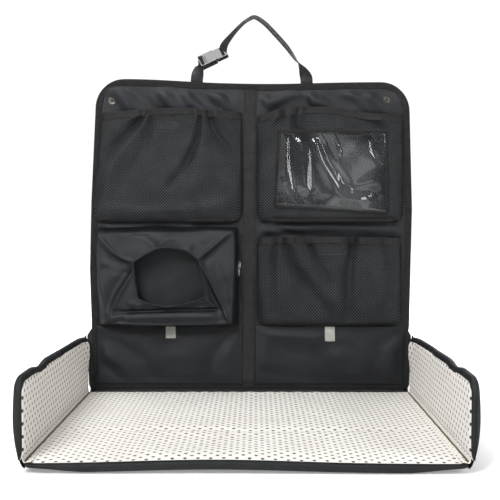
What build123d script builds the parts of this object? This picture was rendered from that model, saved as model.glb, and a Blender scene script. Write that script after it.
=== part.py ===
"""Fold-out baby changing station with a hanging organizer.

A padded mat lies on the floor between two padded wings. A stiff organizer panel with net pockets,
a wipes pocket and a webbing hanger stands on the mat's rear edge.

Frame: +X to the right, +Y to the back, +Z up, in millimetres.
The origin is the centre of the mat's underside. Each piece is its own solid and its own file.
"""

import os
from math import cos, radians, sin

from build123d import *

# ---- Mat ----
mat_width = 644.4
mat_depth = 580
mat_height = 18
mat_corner = 10
cloth = 1.2  # every cover: cloth with its backing
board = 3  # stiffener boards
tape_width = 16
tape_thick = 1

# ---- Wings ----
wing_gap = 0.3  # running gap at the wing's fold
wing_rear_gap = 6  # the wing's rear edge clears the organizer's lower panels as it folds in
wing_height = 122
wing_thick = 14
wing_board = 2
wing_front_radius = 25
wing_rear_radius = 12
wing_seam = 1.5  # shell rim round the filling
wing_hem = 10  # black border round the printed lining

# ---- Organizer panel ----
panel_lift = 3  # gap at the fold, so the binding clears the mat when it leans forward
panel_height = 619
panel_half_bottom = 320.5
panel_half_top = 314
panel_top_radius = 55
panel_bottom_radius = 6
panel_thick = 10
binding_width = 14
binding_proud = 1
spine_width = 25

# ---- Pockets: heights are above the organizer's fold ----
net_wall = 1.6
net_outer_x = 300
net_inner_x = 14
net_mouth_depth = 21
net_belly_depth = 27
net_foot_depth = 6
net_foot_rise = 15
elastic_height = 15
elastic_thick = 1
upper_pocket_foot = 341
upper_pocket_mouth = 562
lower_pocket_foot = 134
lower_pocket_mouth = 312
patch_thick = 1.4

window_left = 44
window_right = 274
window_low = 10  # above the net's belly line
window_high = 168
window_frame_width = 7

wipes_left = -304
wipes_right = -28
wipes_foot = 134
wipes_head = 327
wipes_depth = 46
wipes_wall = 2
wipes_hole_width = 139
wipes_hole_height = 118
wipes_hole_radius = 34
wipes_hole_x = -160
wipes_hole_h = 231
wipes_hem = 8

lower_panel_foot = 18
lower_panel_head = 131
lower_panel_thick = 1.8

# ---- Zipper ----
zip_x = -20.3
zip_tape_width = 13
zip_foot = 182
zip_head = 318
zip_coil_width = 2.6
zip_coil_height = 1.6
slider_h = 256
slider_size = (8, 1.7, 14)
slider_gap = 0.3
pull_length = 22

# ---- Grey ribbon tabs ----
tab_width = 20
tab_thick = 1.2
tab_pivot_h = 131.4
tab_pivot_depth = 3
left_tab_x = -158
right_tab_x = 163
left_tab_length = 24
right_tab_length = 30

# ---- Snaps ----
snap_x = 274
snap_h = 586
snap_radius = 7.5
snap_bore_radius = 2.6
snap_height = 3
snap_cap_height = 2

# ---- Hanger ----
web_width = 25
web_thick = 2.4
hanger_gap = 1.6  # hanger pivot above the organizer's top edge
left_base_x = -105
right_base_x = 116
arch_points = [(-43.5, 65), (-19, 104), (9, 142), (47, 100), (99, 40)]
arch_radius = 16
buckle_x = -71
buckle_z = 51
buckle_tilt = 25  # rise of its long axis
buckle_roll = 40  # its broad face looks forward and up
anchor_length = 40
anchor_thick = 2

# ---- Places worked out from the sizes above ----
fold_y = mat_depth / 2
fold_x = mat_width / 2 + wing_gap
face_y = fold_y + wing_gap  # front face of the organizer
back_y = face_y + panel_thick
top_h = panel_lift + panel_height
hanger_y = face_y + panel_thick / 2
hanger_z = mat_height + top_h + binding_proud + hanger_gap

os.makedirs("parts", exist_ok=True)


def keep(part, label):
    """Labels a finished piece and writes its file."""
    part.label = label
    export_step(part, f"parts/{label}.step")


def facing_front(y):
    """A plane at depth y whose sketches are seen from the front, X across and Z up."""
    return Plane.XZ.offset(-y)


def at_height(h):
    """Turns a height above the organizer's fold into Z."""
    return mat_height + h


def slab(x_range, y_range, z_range):
    """A plain block between two corners, made in the active part."""
    (x0, x1), (y0, y1), (z0, z1) = x_range, y_range, z_range
    with BuildSketch(Plane.XY.offset(z0)) as base:
        with Locations(((x0 + x1) / 2, (y0 + y1) / 2)):
            Rectangle(x1 - x0, y1 - y0)
    extrude(base.sketch, amount=z1 - z0)


# ======================================================================
# Mat
# ======================================================================


def mat_outline(inset=0.0):
    """The mat seen from above, with rounded corners."""
    RectangleRounded(mat_width - 2 * inset, mat_depth - 2 * inset, mat_corner - inset)


cover_top = mat_height - cloth
board_top = cloth + board

with BuildPart() as mat_bottom_cover:
    with BuildSketch():
        mat_outline()
    extrude(amount=cover_top)
    with BuildSketch(Plane.XY.offset(cloth)):
        mat_outline(cloth)
    extrude(amount=cover_top, mode=Mode.SUBTRACT)
keep(mat_bottom_cover.part, "mat_bottom_cover")

with BuildPart() as mat_base_board:
    with BuildSketch(Plane.XY.offset(cloth)):
        mat_outline(cloth)
    extrude(amount=board)
keep(mat_base_board.part, "mat_base_board")

tape_x = mat_width / 2 - cloth - tape_width / 2
tape_y = mat_depth / 2 - cloth - tape_width / 2
side_tape_length = mat_depth - 2 * (cloth + mat_corner) - 2 * tape_width
rear_tape_length = mat_width - 2 * (cloth + mat_corner)
tape_seats = {
    "left_hinge_tape": (-tape_x, 0, tape_width, side_tape_length),
    "right_hinge_tape": (tape_x, 0, tape_width, side_tape_length),
    "rear_hinge_tape": (0, tape_y, rear_tape_length, tape_width),
}

with BuildPart() as mat_foam:
    with BuildSketch(Plane.XY.offset(board_top)):
        mat_outline(cloth)
    extrude(amount=cover_top - board_top)
    with BuildSketch(Plane.XY.offset(cover_top - tape_thick)):
        for x, y, width, depth in tape_seats.values():
            with Locations((x, y)):
                Rectangle(width, depth)
    extrude(amount=tape_thick, mode=Mode.SUBTRACT)
keep(mat_foam.part, "mat_foam")

for name, (x, y, width, depth) in tape_seats.items():
    with BuildPart() as hinge_tape:
        with BuildSketch(Plane.XY.offset(cover_top - tape_thick)):
            with Locations((x, y)):
                Rectangle(width, depth)
        extrude(amount=tape_thick)
    keep(hinge_tape.part, name)

with BuildPart() as mat_top_cover:
    with BuildSketch(Plane.XY.offset(cover_top)):
        mat_outline()
    extrude(amount=cloth)
keep(mat_top_cover.part, "mat_top_cover")

# ======================================================================
# Wings
# ======================================================================

wing_foot = mat_height + wing_gap
wing_head = wing_foot + wing_height


def wing_outline(x, inset=0.0):
    """A wing seen from the side at a given X, with its two upper corners rounded."""
    front = -mat_depth / 2 + inset
    rear = mat_depth / 2 - wing_rear_gap - inset
    foot = wing_foot + inset
    head = wing_head - inset
    with BuildSketch(Plane.YZ.offset(x)) as outline:
        with BuildLine():
            Polyline((front, head), (front, foot), (rear, foot), (rear, head), (front, head))
        make_face()
        upper = vertices().group_by(Axis.Y)[-1].sort_by(Axis.X)
        fillet(upper[0], max(wing_front_radius - inset, 1))
        fillet(upper[-1], max(wing_rear_radius - inset, 1))
    return outline.sketch


lining_x = fold_x + wing_gap
filling_x = lining_x + cloth
shell_x = lining_x + wing_thick
board_x = shell_x - cloth - wing_board

with BuildPart() as wing_shell:
    extrude(wing_outline(lining_x), amount=wing_thick)
    extrude(wing_outline(lining_x, wing_hem), amount=cloth, mode=Mode.SUBTRACT)
    filling_depth = wing_thick - 2 * cloth
    extrude(wing_outline(filling_x, wing_seam), amount=filling_depth, mode=Mode.SUBTRACT)

with BuildPart() as wing_lining:
    extrude(wing_outline(lining_x, wing_hem), amount=cloth)

with BuildPart() as wing_foam:
    extrude(wing_outline(filling_x, wing_seam), amount=board_x - filling_x)

with BuildPart() as wing_stiffener:
    extrude(wing_outline(board_x, wing_seam), amount=wing_board)

wing_pieces = {
    "shell": wing_shell.part,
    "lining": wing_lining.part,
    "foam": wing_foam.part,
    "board": wing_stiffener.part,
}
for piece, shape in wing_pieces.items():
    keep(mirror(shape, about=Plane.YZ), f"left_wing_{piece}")
    keep(shape, f"right_wing_{piece}")

# ======================================================================
# Organizer panel
# ======================================================================


def panel_outline(y, grow=0.0):
    """The organizer seen from the front: a little narrower at the top, upper corners well rounded."""
    foot = at_height(panel_lift + binding_proud) - grow
    head = at_height(top_h) + grow
    low = panel_half_bottom + grow
    high = panel_half_top + grow
    with BuildSketch(facing_front(y)) as outline:
        with BuildLine():
            Polyline((-low, foot), (low, foot), (high, head), (-high, head), (-low, foot))
        make_face()
        fillet(vertices().group_by(Axis.Y)[-1], panel_top_radius + grow)
        fillet(vertices().group_by(Axis.Y)[0], max(panel_bottom_radius + grow, 1))
    return outline.sketch


with BuildPart() as organizer_front_cover:
    extrude(panel_outline(face_y + cloth), amount=cloth)
keep(organizer_front_cover.part, "organizer_front_cover")

with BuildPart() as organizer_back_cover:
    extrude(panel_outline(back_y), amount=cloth)
keep(organizer_back_cover.part, "organizer_back_cover")

board_back = back_y - cloth
board_front = board_back - board
for side, sign in (("left", -1), ("right", 1)):
    for piece, back, front in (
        ("board", board_back, board_front),
        ("padding", board_front, face_y + cloth),
    ):
        with BuildPart() as half_layer:
            extrude(panel_outline(back, -binding_width), amount=back - front)
            other_half = sorted((-sign * panel_half_bottom, sign * spine_width / 4))
            with BuildSketch(facing_front(back)):
                with Locations((sum(other_half) / 2, at_height(top_h / 2))):
                    Rectangle(other_half[1] - other_half[0], 2 * top_h)
            extrude(amount=back - front, mode=Mode.SUBTRACT)
        keep(half_layer.part, f"{side}_organizer_{piece}")

with BuildPart() as edge_binding:
    binding_back = back_y + binding_proud
    binding_depth = panel_thick + 2 * binding_proud
    binding_inner = binding_proud - binding_width
    extrude(panel_outline(binding_back, binding_proud), amount=binding_depth)
    extrude(panel_outline(binding_back, binding_inner), amount=binding_depth, mode=Mode.SUBTRACT)
    extrude(panel_outline(back_y), amount=panel_thick, mode=Mode.SUBTRACT)
keep(edge_binding.part, "edge_binding")

spine_foot = at_height(lower_panel_foot)
spine_head = at_height(top_h - binding_width)
with BuildPart() as spine_tape:
    slab((-spine_width / 2, spine_width / 2), (face_y - 1, face_y), (spine_foot, spine_head))
keep(spine_tape.part, "spine_tape")

# ======================================================================
# Net pockets
# ======================================================================


def net_profile(x, foot, mouth, inset=0.0):
    """Side view of a net pocket at a given X, its front wall leaning in to the mouth."""
    base = at_height(foot) + 2 * inset
    with BuildSketch(Plane.YZ.offset(x)) as profile:
        with BuildLine():
            Polyline(
                (face_y, base),
                (face_y - net_foot_depth + inset / 2, base),
                (face_y - net_belly_depth + inset, at_height(foot + net_foot_rise) + inset / 2),
                (face_y - net_mouth_depth + inset, at_height(mouth)),
                (face_y, at_height(mouth)),
                (face_y, base),
            )
        make_face()
    return profile.sketch


def net_pocket(x_range, foot, mouth):
    """A net pocket open at its mouth and backed by the organizer's front cover."""
    x0, x1 = x_range
    with BuildPart() as pocket:
        extrude(net_profile(x0, foot, mouth), amount=x1 - x0)
        hollow = net_profile(x0 + net_wall, foot, mouth, net_wall)
        extrude(hollow, amount=x1 - x0 - 2 * net_wall, mode=Mode.SUBTRACT)
    return pocket.part


def net_front(foot, mouth):
    """The plane of a net pocket's front wall: X across, its Y up the wall, origin at the belly line."""
    rise = Vector(0, net_belly_depth - net_mouth_depth, mouth - foot - net_foot_rise).normalized()
    across = Vector(1, 0, 0)
    origin = (0, face_y - net_belly_depth, at_height(foot + net_foot_rise))
    return Plane(origin=origin, x_dir=across, z_dir=across.cross(rise))


def elastic_band(x_range, foot, mouth):
    """The elastic sewn along a net pocket's mouth."""
    x0, x1 = x_range
    wall = net_front(foot, mouth)
    length = Vector(0, net_belly_depth - net_mouth_depth, mouth - foot - net_foot_rise).length
    with BuildPart() as band:
        with BuildSketch(wall):
            with Locations(((x0 + x1) / 2, length - elastic_height / 2)):
                Rectangle(x1 - x0, elastic_height)
        extrude(amount=elastic_thick)
    return band.part


def closure_patch(x_range, h_range):
    """A hook-and-loop patch sewn on the front cover behind a pocket's mouth."""
    h0, h1 = h_range
    with BuildPart() as patch:
        slab(x_range, (face_y - patch_thick, face_y), (at_height(h0), at_height(h1)))
    return patch.part


net_pockets = {
    "top_left": ((-net_outer_x, -net_inner_x), upper_pocket_foot, upper_pocket_mouth),
    "bottom_right": ((net_inner_x, net_outer_x), lower_pocket_foot, lower_pocket_mouth),
}
for name, (x_range, foot, mouth) in net_pockets.items():
    keep(net_pocket(x_range, foot, mouth), f"{name}_net_pocket")
    keep(elastic_band(x_range, foot, mouth), f"{name}_elastic")

# The upper right pocket has a clear window sewn into its front wall.
window_x_range = (net_inner_x, net_outer_x)
window_wall = net_front(upper_pocket_foot, upper_pocket_mouth)
window_centre = ((window_left + window_right) / 2, (window_low + window_high) / 2)
window_size = (window_right - window_left, window_high - window_low)
plain_pocket = net_pocket(window_x_range, upper_pocket_foot, upper_pocket_mouth)
with BuildPart() as top_right_net_pocket:
    add(plain_pocket)
    with BuildSketch(window_wall):
        with Locations(window_centre):
            Rectangle(*window_size)
    extrude(amount=-2 * net_wall, mode=Mode.SUBTRACT)
keep(top_right_net_pocket.part, "top_right_net_pocket")
keep(elastic_band(window_x_range, upper_pocket_foot, upper_pocket_mouth), "top_right_elastic")

with BuildPart() as window_sheet:
    with BuildSketch(window_wall.offset(-net_wall)):
        with Locations(window_centre):
            Rectangle(*window_size)
    extrude(amount=net_wall)
keep(window_sheet.part, "window_sheet")

with BuildPart() as window_frame:
    with BuildSketch(window_wall):
        with Locations(window_centre):
            Rectangle(*(side + window_frame_width for side in window_size))
            Rectangle(*(side - window_frame_width for side in window_size), mode=Mode.SUBTRACT)
    extrude(amount=elastic_thick)
keep(window_frame.part, "window_frame")

keep(closure_patch((-183, -139), (530, 560)), "top_left_closure_patch")
keep(closure_patch((139, 189), (533, 559)), "top_right_closure_patch")
keep(closure_patch((138, 198), (277, 298)), "bottom_right_closure_patch")

# ======================================================================
# Wipes pocket with its dispensing hole, and its zipper
# ======================================================================

with BuildPart() as wipes_pocket:
    slab((wipes_left, wipes_right), (face_y - wipes_depth, face_y), (at_height(wipes_foot), at_height(wipes_head)))
    fillet(edges().filter_by(Axis.Y), 6)
    inner_x = (wipes_left + wipes_wall, wipes_right - wipes_wall)
    inner_z = (at_height(wipes_foot + wipes_wall), at_height(wipes_head - wipes_wall))
    with BuildSketch(facing_front(face_y)):
        with Locations(((inner_x[0] + inner_x[1]) / 2, (inner_z[0] + inner_z[1]) / 2)):
            RectangleRounded(inner_x[1] - inner_x[0], inner_z[1] - inner_z[0], 4)
    extrude(amount=wipes_depth - wipes_wall, mode=Mode.SUBTRACT)
    with BuildSketch(facing_front(face_y)):
        with Locations((wipes_hole_x, at_height(wipes_hole_h))):
            RectangleRounded(wipes_hole_width, wipes_hole_height, wipes_hole_radius)
    extrude(amount=wipes_depth, mode=Mode.SUBTRACT)
keep(wipes_pocket.part, "wipes_pocket")

with BuildPart() as wipes_hole_hem:
    with BuildSketch(facing_front(face_y - wipes_depth)):
        with Locations((wipes_hole_x, at_height(wipes_hole_h))):
            RectangleRounded(
                wipes_hole_width + 2 * wipes_hem,
                wipes_hole_height + 2 * wipes_hem,
                wipes_hole_radius + wipes_hem,
            )
            RectangleRounded(wipes_hole_width, wipes_hole_height, wipes_hole_radius, mode=Mode.SUBTRACT)
    extrude(amount=1)
keep(wipes_hole_hem.part, "wipes_hole_hem")

zip_span = (at_height(zip_foot), at_height(zip_head))
with BuildPart() as zipper_tape:
    tape_side = zip_tape_width / 2
    slab((zip_x - tape_side, zip_x + tape_side), (face_y - tape_thick, face_y), zip_span)
keep(zipper_tape.part, "zipper_tape")

coil_top = tape_thick + zip_coil_height
with BuildPart() as zipper_coil:
    coil_side = zip_coil_width / 2
    slab((zip_x - coil_side, zip_x + coil_side), (face_y - coil_top, face_y - tape_thick), zip_span)
keep(zipper_coil.part, "zipper_coil")

slider_width, slider_thick, slider_length = slider_size
slider_low = coil_top + slider_gap
slider_high = slider_low + slider_thick
slider_z = at_height(slider_h)
loop_height = 4
loop_radius = 1.2
pull_depth = slider_high + loop_height / 2
with BuildPart() as zip_slider:
    slab(
        (zip_x - slider_width / 2, zip_x + slider_width / 2),
        (face_y - slider_high, face_y - slider_low),
        (slider_z - slider_length / 2, slider_z + slider_length / 2),
    )
    fillet(edges().filter_by(Axis.Y), 2.5)
    for end in (-1, 1):
        slab(
            (zip_x + end * 3 - 0.7, zip_x + end * 3 + 0.7),
            (face_y - slider_high - loop_height, face_y - slider_high),
            (slider_z - 2, slider_z + 4),
        )
    with BuildSketch(Plane.YZ.offset(zip_x - 3)):
        with Locations((face_y - pull_depth, slider_z)):
            Circle(loop_radius * 0.6)
    extrude(amount=6)
keep(zip_slider.part, "zip_slider")

with BuildPart() as zip_pull:
    with BuildSketch(facing_front(face_y - pull_depth + 0.9)):
        with Locations((zip_x, slider_z + 1 - pull_length / 2)):
            RectangleRounded(4, pull_length, 1.5)
    extrude(amount=1.8)
    with BuildSketch(Plane.YZ.offset(zip_x - 3)):
        with Locations((face_y - pull_depth, slider_z)):
            Circle(loop_radius)
    extrude(amount=6)
    with BuildSketch(Plane.YZ.offset(zip_x - 3)):
        with Locations((face_y - pull_depth, slider_z)):
            Circle(loop_radius * 0.6 + 0.1)
    extrude(amount=6, mode=Mode.SUBTRACT)
    with BuildSketch(facing_front(face_y)):
        for end in (-1, 1):
            with Locations((zip_x + end * 3, slider_z)):
                Rectangle(2, 6)
    extrude(amount=wipes_depth, mode=Mode.SUBTRACT)
keep(zip_pull.part, "zip_pull")

# ======================================================================
# Lower panels and the grey ribbon tabs
# ======================================================================

for side, sign in (("left", -1), ("right", 1)):
    inner = sign * (spine_width / 2 + 1)
    outer = sign * (net_outer_x + 5)
    with BuildPart() as lower_panel:
        slab(
            (min(inner, outer), max(inner, outer)),
            (face_y - lower_panel_thick, face_y),
            (at_height(lower_panel_foot), at_height(lower_panel_head)),
        )
    keep(lower_panel.part, f"lower_{side}_panel")

for side, x, length in (
    ("left", left_tab_x, left_tab_length),
    ("right", right_tab_x, right_tab_length),
):
    with BuildPart() as ribbon_tab:
        slab(
            (x - tab_width / 2, x + tab_width / 2),
            (face_y - tab_pivot_depth - tab_thick / 2, face_y - tab_pivot_depth + tab_thick / 2),
            (at_height(tab_pivot_h) - length, at_height(tab_pivot_h)),
        )
    keep(ribbon_tab.part, f"{side}_ribbon_tab")

# ======================================================================
# Snaps
# ======================================================================

snap_places = [(-snap_x, at_height(snap_h)), (snap_x, at_height(snap_h))]

with BuildPart() as snap_sockets:
    with BuildSketch(facing_front(face_y)):
        with Locations(*snap_places):
            Circle(snap_radius)
    extrude(amount=snap_height)
    chamfer(faces().sort_by(Axis.Y)[:2].edges(), 1)
    with BuildSketch(facing_front(face_y)):
        with Locations(*snap_places):
            Circle(snap_bore_radius)
    extrude(amount=snap_height, mode=Mode.SUBTRACT)
keep(snap_sockets.part, "snap_sockets")

with BuildPart() as snap_caps:
    with BuildSketch(facing_front(back_y + snap_cap_height)):
        with Locations(*snap_places):
            Circle(snap_radius)
    extrude(amount=snap_cap_height)
keep(snap_caps.part, "snap_caps")

# ======================================================================
# Hanger: short webbing, side-release buckle, long webbing
# ======================================================================

with BuildPart() as strap_anchors:
    anchor_head = at_height(top_h - binding_width)
    for x in (left_base_x, right_base_x):
        slab(
            (x - web_width / 2, x + web_width / 2),
            (back_y, back_y + anchor_thick),
            (anchor_head - anchor_length, anchor_head),
        )
keep(strap_anchors.part, "strap_anchors")

tilt = radians(buckle_tilt)
roll = radians(buckle_roll)
along = Vector(cos(tilt), 0, sin(tilt))
outward = Vector(-sin(roll) * sin(tilt), -cos(roll), sin(roll) * cos(tilt))
organizer_top = at_height(top_h)
buckle_plane = Plane(
    origin=(buckle_x, hanger_y, organizer_top + buckle_z),
    x_dir=along,
    z_dir=outward,
)

socket_start = -30
socket_end = 4
socket_half_width = 16
socket_half_thick = 5.5
cavity_half_width = 12.5
cavity_half_thick = 3.5
cavity_start = -16
plug_end = 28
plug_half_width = 15
plug_half_thick = 4
plug_gap = 0.3
prong_half_thick = 2.5
prong_inner = 6
prong_outer = 11.8
prong_travel = 2.5


def buckle_block(u_range, v_range, half_thick, mode=Mode.ADD, corner=0.0):
    """A block in the buckle's own plane: u along the hanger, v across it."""
    (u0, u1), (v0, v1) = u_range, v_range
    with BuildSketch(buckle_plane) as outline:
        with Locations(((u0 + u1) / 2, (v0 + v1) / 2)):
            if corner:
                RectangleRounded(u1 - u0, v1 - v0, corner)
            else:
                Rectangle(u1 - u0, v1 - v0)
    extrude(outline.sketch, amount=half_thick, both=True, mode=mode)


with BuildPart() as buckle_socket:
    side = (-socket_half_width, socket_half_width)
    hollow = (-cavity_half_width, cavity_half_width)
    buckle_block((socket_start, socket_end), side, socket_half_thick, corner=3)
    buckle_block((cavity_start, socket_end), hollow, cavity_half_thick, Mode.SUBTRACT)
    buckle_block((cavity_start + 5, socket_end - 4), (-20, 20), prong_half_thick + 0.5, Mode.SUBTRACT)
keep(buckle_socket.part, "buckle_socket")

with BuildPart() as buckle_plug:
    plug_side = (-plug_half_width, plug_half_width)
    buckle_block((socket_end + plug_gap, plug_end), plug_side, plug_half_thick, corner=3)
    buckle_block((cavity_start + 2, socket_end + 4), (-3, 3), 2.2)
    buckle_block((17, 23), (-13, 13), socket_half_thick, Mode.SUBTRACT)
keep(buckle_plug.part, "buckle_plug")

prong_u = (cavity_start + 3, socket_end)
head_u = (cavity_start + 6, socket_end - 5)
for side, sign in (("upper", 1), ("lower", -1)):
    with BuildPart() as release_prong:
        arm = sorted((sign * prong_inner, sign * prong_outer))
        head = sorted((sign * prong_inner, sign * (socket_half_width + 0.6)))
        buckle_block(prong_u, arm, prong_half_thick)
        buckle_block(head_u, head, prong_half_thick)
    keep(release_prong.part, f"{side}_release_prong")

with BuildPart() as short_webbing:
    corner_top = buckle_plane.from_local_coords(Vector(socket_start, web_width / 2, 0))
    corner_low = buckle_plane.from_local_coords(Vector(socket_start, -web_width / 2, 0))
    base_left = left_base_x - web_width / 2
    base_right = left_base_x + web_width / 2
    with BuildSketch(facing_front(hanger_y + web_thick / 2)):
        with BuildLine():
            Polyline(
                (base_left, hanger_z),
                (base_right, hanger_z),
                (corner_low.X, corner_low.Z),
                (corner_top.X, corner_top.Z),
                (base_left, hanger_z + 24),
                (base_left, hanger_z),
            )
        make_face()
    extrude(amount=web_thick)
keep(short_webbing.part, "short_webbing")

with BuildPart() as long_webbing:
    with BuildSketch(facing_front(hanger_y)):
        with BuildLine():
            FilletPolyline(*[(x, organizer_top + z) for x, z in arch_points], radius=arch_radius)
        trace(line_width=web_thick)
    extrude(amount=web_width / 2, both=True)
    twist_x, twist_z = arch_points[-1]
    base_left = right_base_x - web_width / 2
    base_right = right_base_x + web_width / 2
    with BuildSketch(facing_front(hanger_y + web_thick / 2)):
        with BuildLine():
            Polyline(
                (base_left, hanger_z),
                (base_right, hanger_z),
                (twist_x + 8, organizer_top + twist_z + 6),
                (twist_x - 6, organizer_top + twist_z + 2),
                (base_left, hanger_z),
            )
        make_face()
    extrude(amount=web_thick)
    with BuildSketch(buckle_plane.offset(plug_half_thick)):
        with Locations(((10 + plug_end + 4) / 2, 0)):
            Rectangle(plug_end + 4 - 10, web_width)
    extrude(amount=web_thick)
keep(long_webbing.part, "long_webbing")
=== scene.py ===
"""The looks of a fold-out baby changing station with a hanging organizer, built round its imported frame.

Lengths in this file are millimetres until a mesh is made: x to the right, y to the back, z up.
"""

import math

import bmesh
import bpy
import numpy as np
from mathutils import Euler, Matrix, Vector


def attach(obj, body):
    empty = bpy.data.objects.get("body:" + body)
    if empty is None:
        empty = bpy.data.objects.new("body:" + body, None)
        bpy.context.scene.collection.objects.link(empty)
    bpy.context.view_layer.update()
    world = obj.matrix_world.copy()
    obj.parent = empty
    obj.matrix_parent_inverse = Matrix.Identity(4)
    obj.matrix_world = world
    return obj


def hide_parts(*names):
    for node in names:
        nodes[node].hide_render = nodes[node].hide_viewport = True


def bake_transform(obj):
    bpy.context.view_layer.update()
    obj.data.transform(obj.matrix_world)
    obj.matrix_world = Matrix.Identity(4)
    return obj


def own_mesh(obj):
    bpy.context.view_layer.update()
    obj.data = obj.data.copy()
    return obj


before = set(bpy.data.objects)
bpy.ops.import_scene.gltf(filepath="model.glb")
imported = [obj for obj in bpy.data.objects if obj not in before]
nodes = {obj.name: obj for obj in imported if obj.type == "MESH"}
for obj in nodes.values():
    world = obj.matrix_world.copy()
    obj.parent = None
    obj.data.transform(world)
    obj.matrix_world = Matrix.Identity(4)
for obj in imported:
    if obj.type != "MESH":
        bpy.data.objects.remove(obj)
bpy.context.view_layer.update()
scene = bpy.context.scene

MM = 0.001
MAT_HALF_X = 322
MAT_HALF_Y = 290
FACE_Y = 290.3  # front face of the organizer
BACK_Y = 300.3
NET_STEP = 2.8
NET_THICK = 0.7

# ---- Numbers and shapes ----


def smooth(t):
    t = np.clip(t, 0, 1)
    return t * t * (3 - 2 * t)


def ramp(x, low, high):
    """0 at low, 1 at high, smooth between."""
    return smooth((np.asarray(x, float) - low) / (high - low))


def bell(x, middle, width):
    return np.exp(-(((np.asarray(x, float) - middle) / width) ** 2))


FIELDS, CELLS = 12, 64
LATTICE = np.random.default_rng(7).uniform(-1, 1, (FIELDS, CELLS, CELLS))


def lumps(x, y, size, seed):
    """A smooth random field from -1 to 1, with lumps about size across."""
    x, y = np.asarray(x, float) / size, np.asarray(y, float) / size
    i, j = np.floor(x).astype(int), np.floor(y).astype(int)
    u, v = smooth(x - i), smooth(y - j)
    t = LATTICE[seed % FIELDS]
    i, j, i2, j2 = i % CELLS, j % CELLS, (i + 1) % CELLS, (j + 1) % CELLS
    low = t[i, j] * (1 - u) + t[i2, j] * u
    high = t[i, j2] * (1 - u) + t[i2, j2] * u
    return low * (1 - v) + high * v


def quarter(t):
    """Rises from 0 to 1 as a quarter circle does."""
    return np.sqrt(np.clip(1 - (1 - np.clip(t, 0, 1)) ** 2, 0, 1))


def fold(x, z, row):
    """Height of a soft ridge along a line of points, or of a valley where its height is below 0.

    A row holds the width at the line's start and end, the height at both, and x, z of each point."""
    line = list(zip(row[4::2], row[5::2]))
    best, along, run = np.full(x.shape, 1e9), np.zeros(x.shape), 0.0
    total = sum(math.dist(a, b) for a, b in zip(line, line[1:]))
    for (ax, az), (bx, bz) in zip(line, line[1:]):
        dx, dz = bx - ax, bz - az
        size = math.hypot(dx, dz)
        t = np.clip(((x - ax) * dx + (z - az) * dz) / size**2, 0, 1)
        d = np.hypot(x - ax - t * dx, z - az - t * dz)
        along = np.where(d < best, (run + t * size) / total, along)
        best = np.minimum(best, d)
        run += size
    wide = row[0] + (row[1] - row[0]) * along
    return (row[2] + (row[3] - row[2]) * along) * np.exp(-((best / wide) ** 2))


def folds(x, z, rows):
    return sum(fold(x, z, row) for row in rows)


def length(line):
    return np.linalg.norm(np.diff(line, axis=0), axis=1).sum()


def spline(points, count):
    """count points evenly along a smooth curve through the given ones."""
    p = np.array(points, float)
    p = np.vstack([2 * p[0] - p[1], p, 2 * p[-1] - p[-2]])
    t = np.linspace(0, 1, 24, endpoint=False)[:, None]
    fine = []
    for a, b, c, d in zip(p, p[1:], p[2:], p[3:]):
        bend, turn = 2 * a - 5 * b + 4 * c - d, 3 * b - a - 3 * c + d
        fine.append(0.5 * (2 * b + (c - a) * t + bend * t**2 + turn * t**3))
    return even(np.vstack([*fine, p[-2:-1]]), count)


def even_ring(line, count):
    """count points evenly round a closed line."""
    return even(np.vstack([line, line[:1]]), count + 1)[:-1]


def upright(line, y):
    """(x, z) points set at a depth y."""
    line = np.asarray(line, float)
    return np.column_stack([line[:, 0], y * np.ones(len(line)), line[:, 1]])


def inside_box(x, z, x_range, z_range):
    """Distance to the nearest edge of a rectangle."""
    return np.minimum(np.minimum(x - x_range[0], x_range[1] - x), np.minimum(z - z_range[0], z_range[1] - z))


def grid(x, z):
    return np.meshgrid(x, z, indexing="ij")


def even(line, count):
    run = np.concatenate([[0], np.cumsum(np.linalg.norm(np.diff(line, axis=0), axis=1))])
    at = np.linspace(0, run[-1], count)
    return np.stack([np.interp(at, run, line[:, k]) for k in range(line.shape[1])], 1)


def stations(low, high, step, edge=(0, 1.2, 3, 5.5, 9, 13.5)):
    """Places from low to high, closer together near both ends."""
    inner = np.linspace(low + edge[-1], high - edge[-1], max(2, round((high - low) / step)))
    return np.concatenate([low + np.array(edge[:-1]), inner, high - np.array(edge[:-1])[::-1]])


def rounded(x, z, half_x, low, high, low_radius, high_radius):
    """Pulls the points of a rectangle in to round its corners."""
    x, z = x.copy(), z.copy()
    for radius, edge, sign in ((low_radius, low, -1), (high_radius, high, 1)):
        cx, cz = half_x - radius, edge - sign * radius
        qx, qz = np.abs(x) - cx, (z - cz) * sign
        inside = (qx > 0) & (qz > 0)
        size = np.maximum(np.hypot(qx, qz), 1e-9)
        scale = np.where(inside, np.maximum(qx, qz) / size, 1)
        x = np.where(inside, np.sign(x) * (cx + qx * scale), x)
        z = np.where(inside, cz + sign * qz * scale, z)
    return x, z


# ---- Making pieces ----


def mesh_piece(name, points, faces, finish, uv=None):
    mesh = bpy.data.meshes.new(name)
    mesh.from_pydata((np.asarray(points, float) * MM).tolist(), [], [list(map(int, f)) for f in faces])
    if uv is not None:
        layer = mesh.uv_layers.new(name="cloth")
        loops = np.zeros(len(mesh.loops), np.int32)
        mesh.loops.foreach_get("vertex_index", loops)
        layer.data.foreach_set("uv", (np.asarray(uv, float)[loops] * MM).astype(np.float32).ravel())
    mesh.polygons.foreach_set("use_smooth", [True] * len(mesh.polygons))
    mesh.materials.append(finish)
    piece = bpy.data.objects.new(name, mesh)
    scene.collection.objects.link(piece)
    return piece


def quads(nu, nv, close_u=False, close_v=False, start=0):
    rows, columns = np.arange(nu if close_u else nu - 1), np.arange(nv if close_v else nv - 1)
    i, j = np.meshgrid(rows, columns, indexing="ij")
    i2, j2 = (i + 1) % nu, (j + 1) % nv
    return (np.stack([i * nv + j, i2 * nv + j, i2 * nv + j2, i * nv + j2], -1) + start).reshape(-1, 4)


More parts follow.
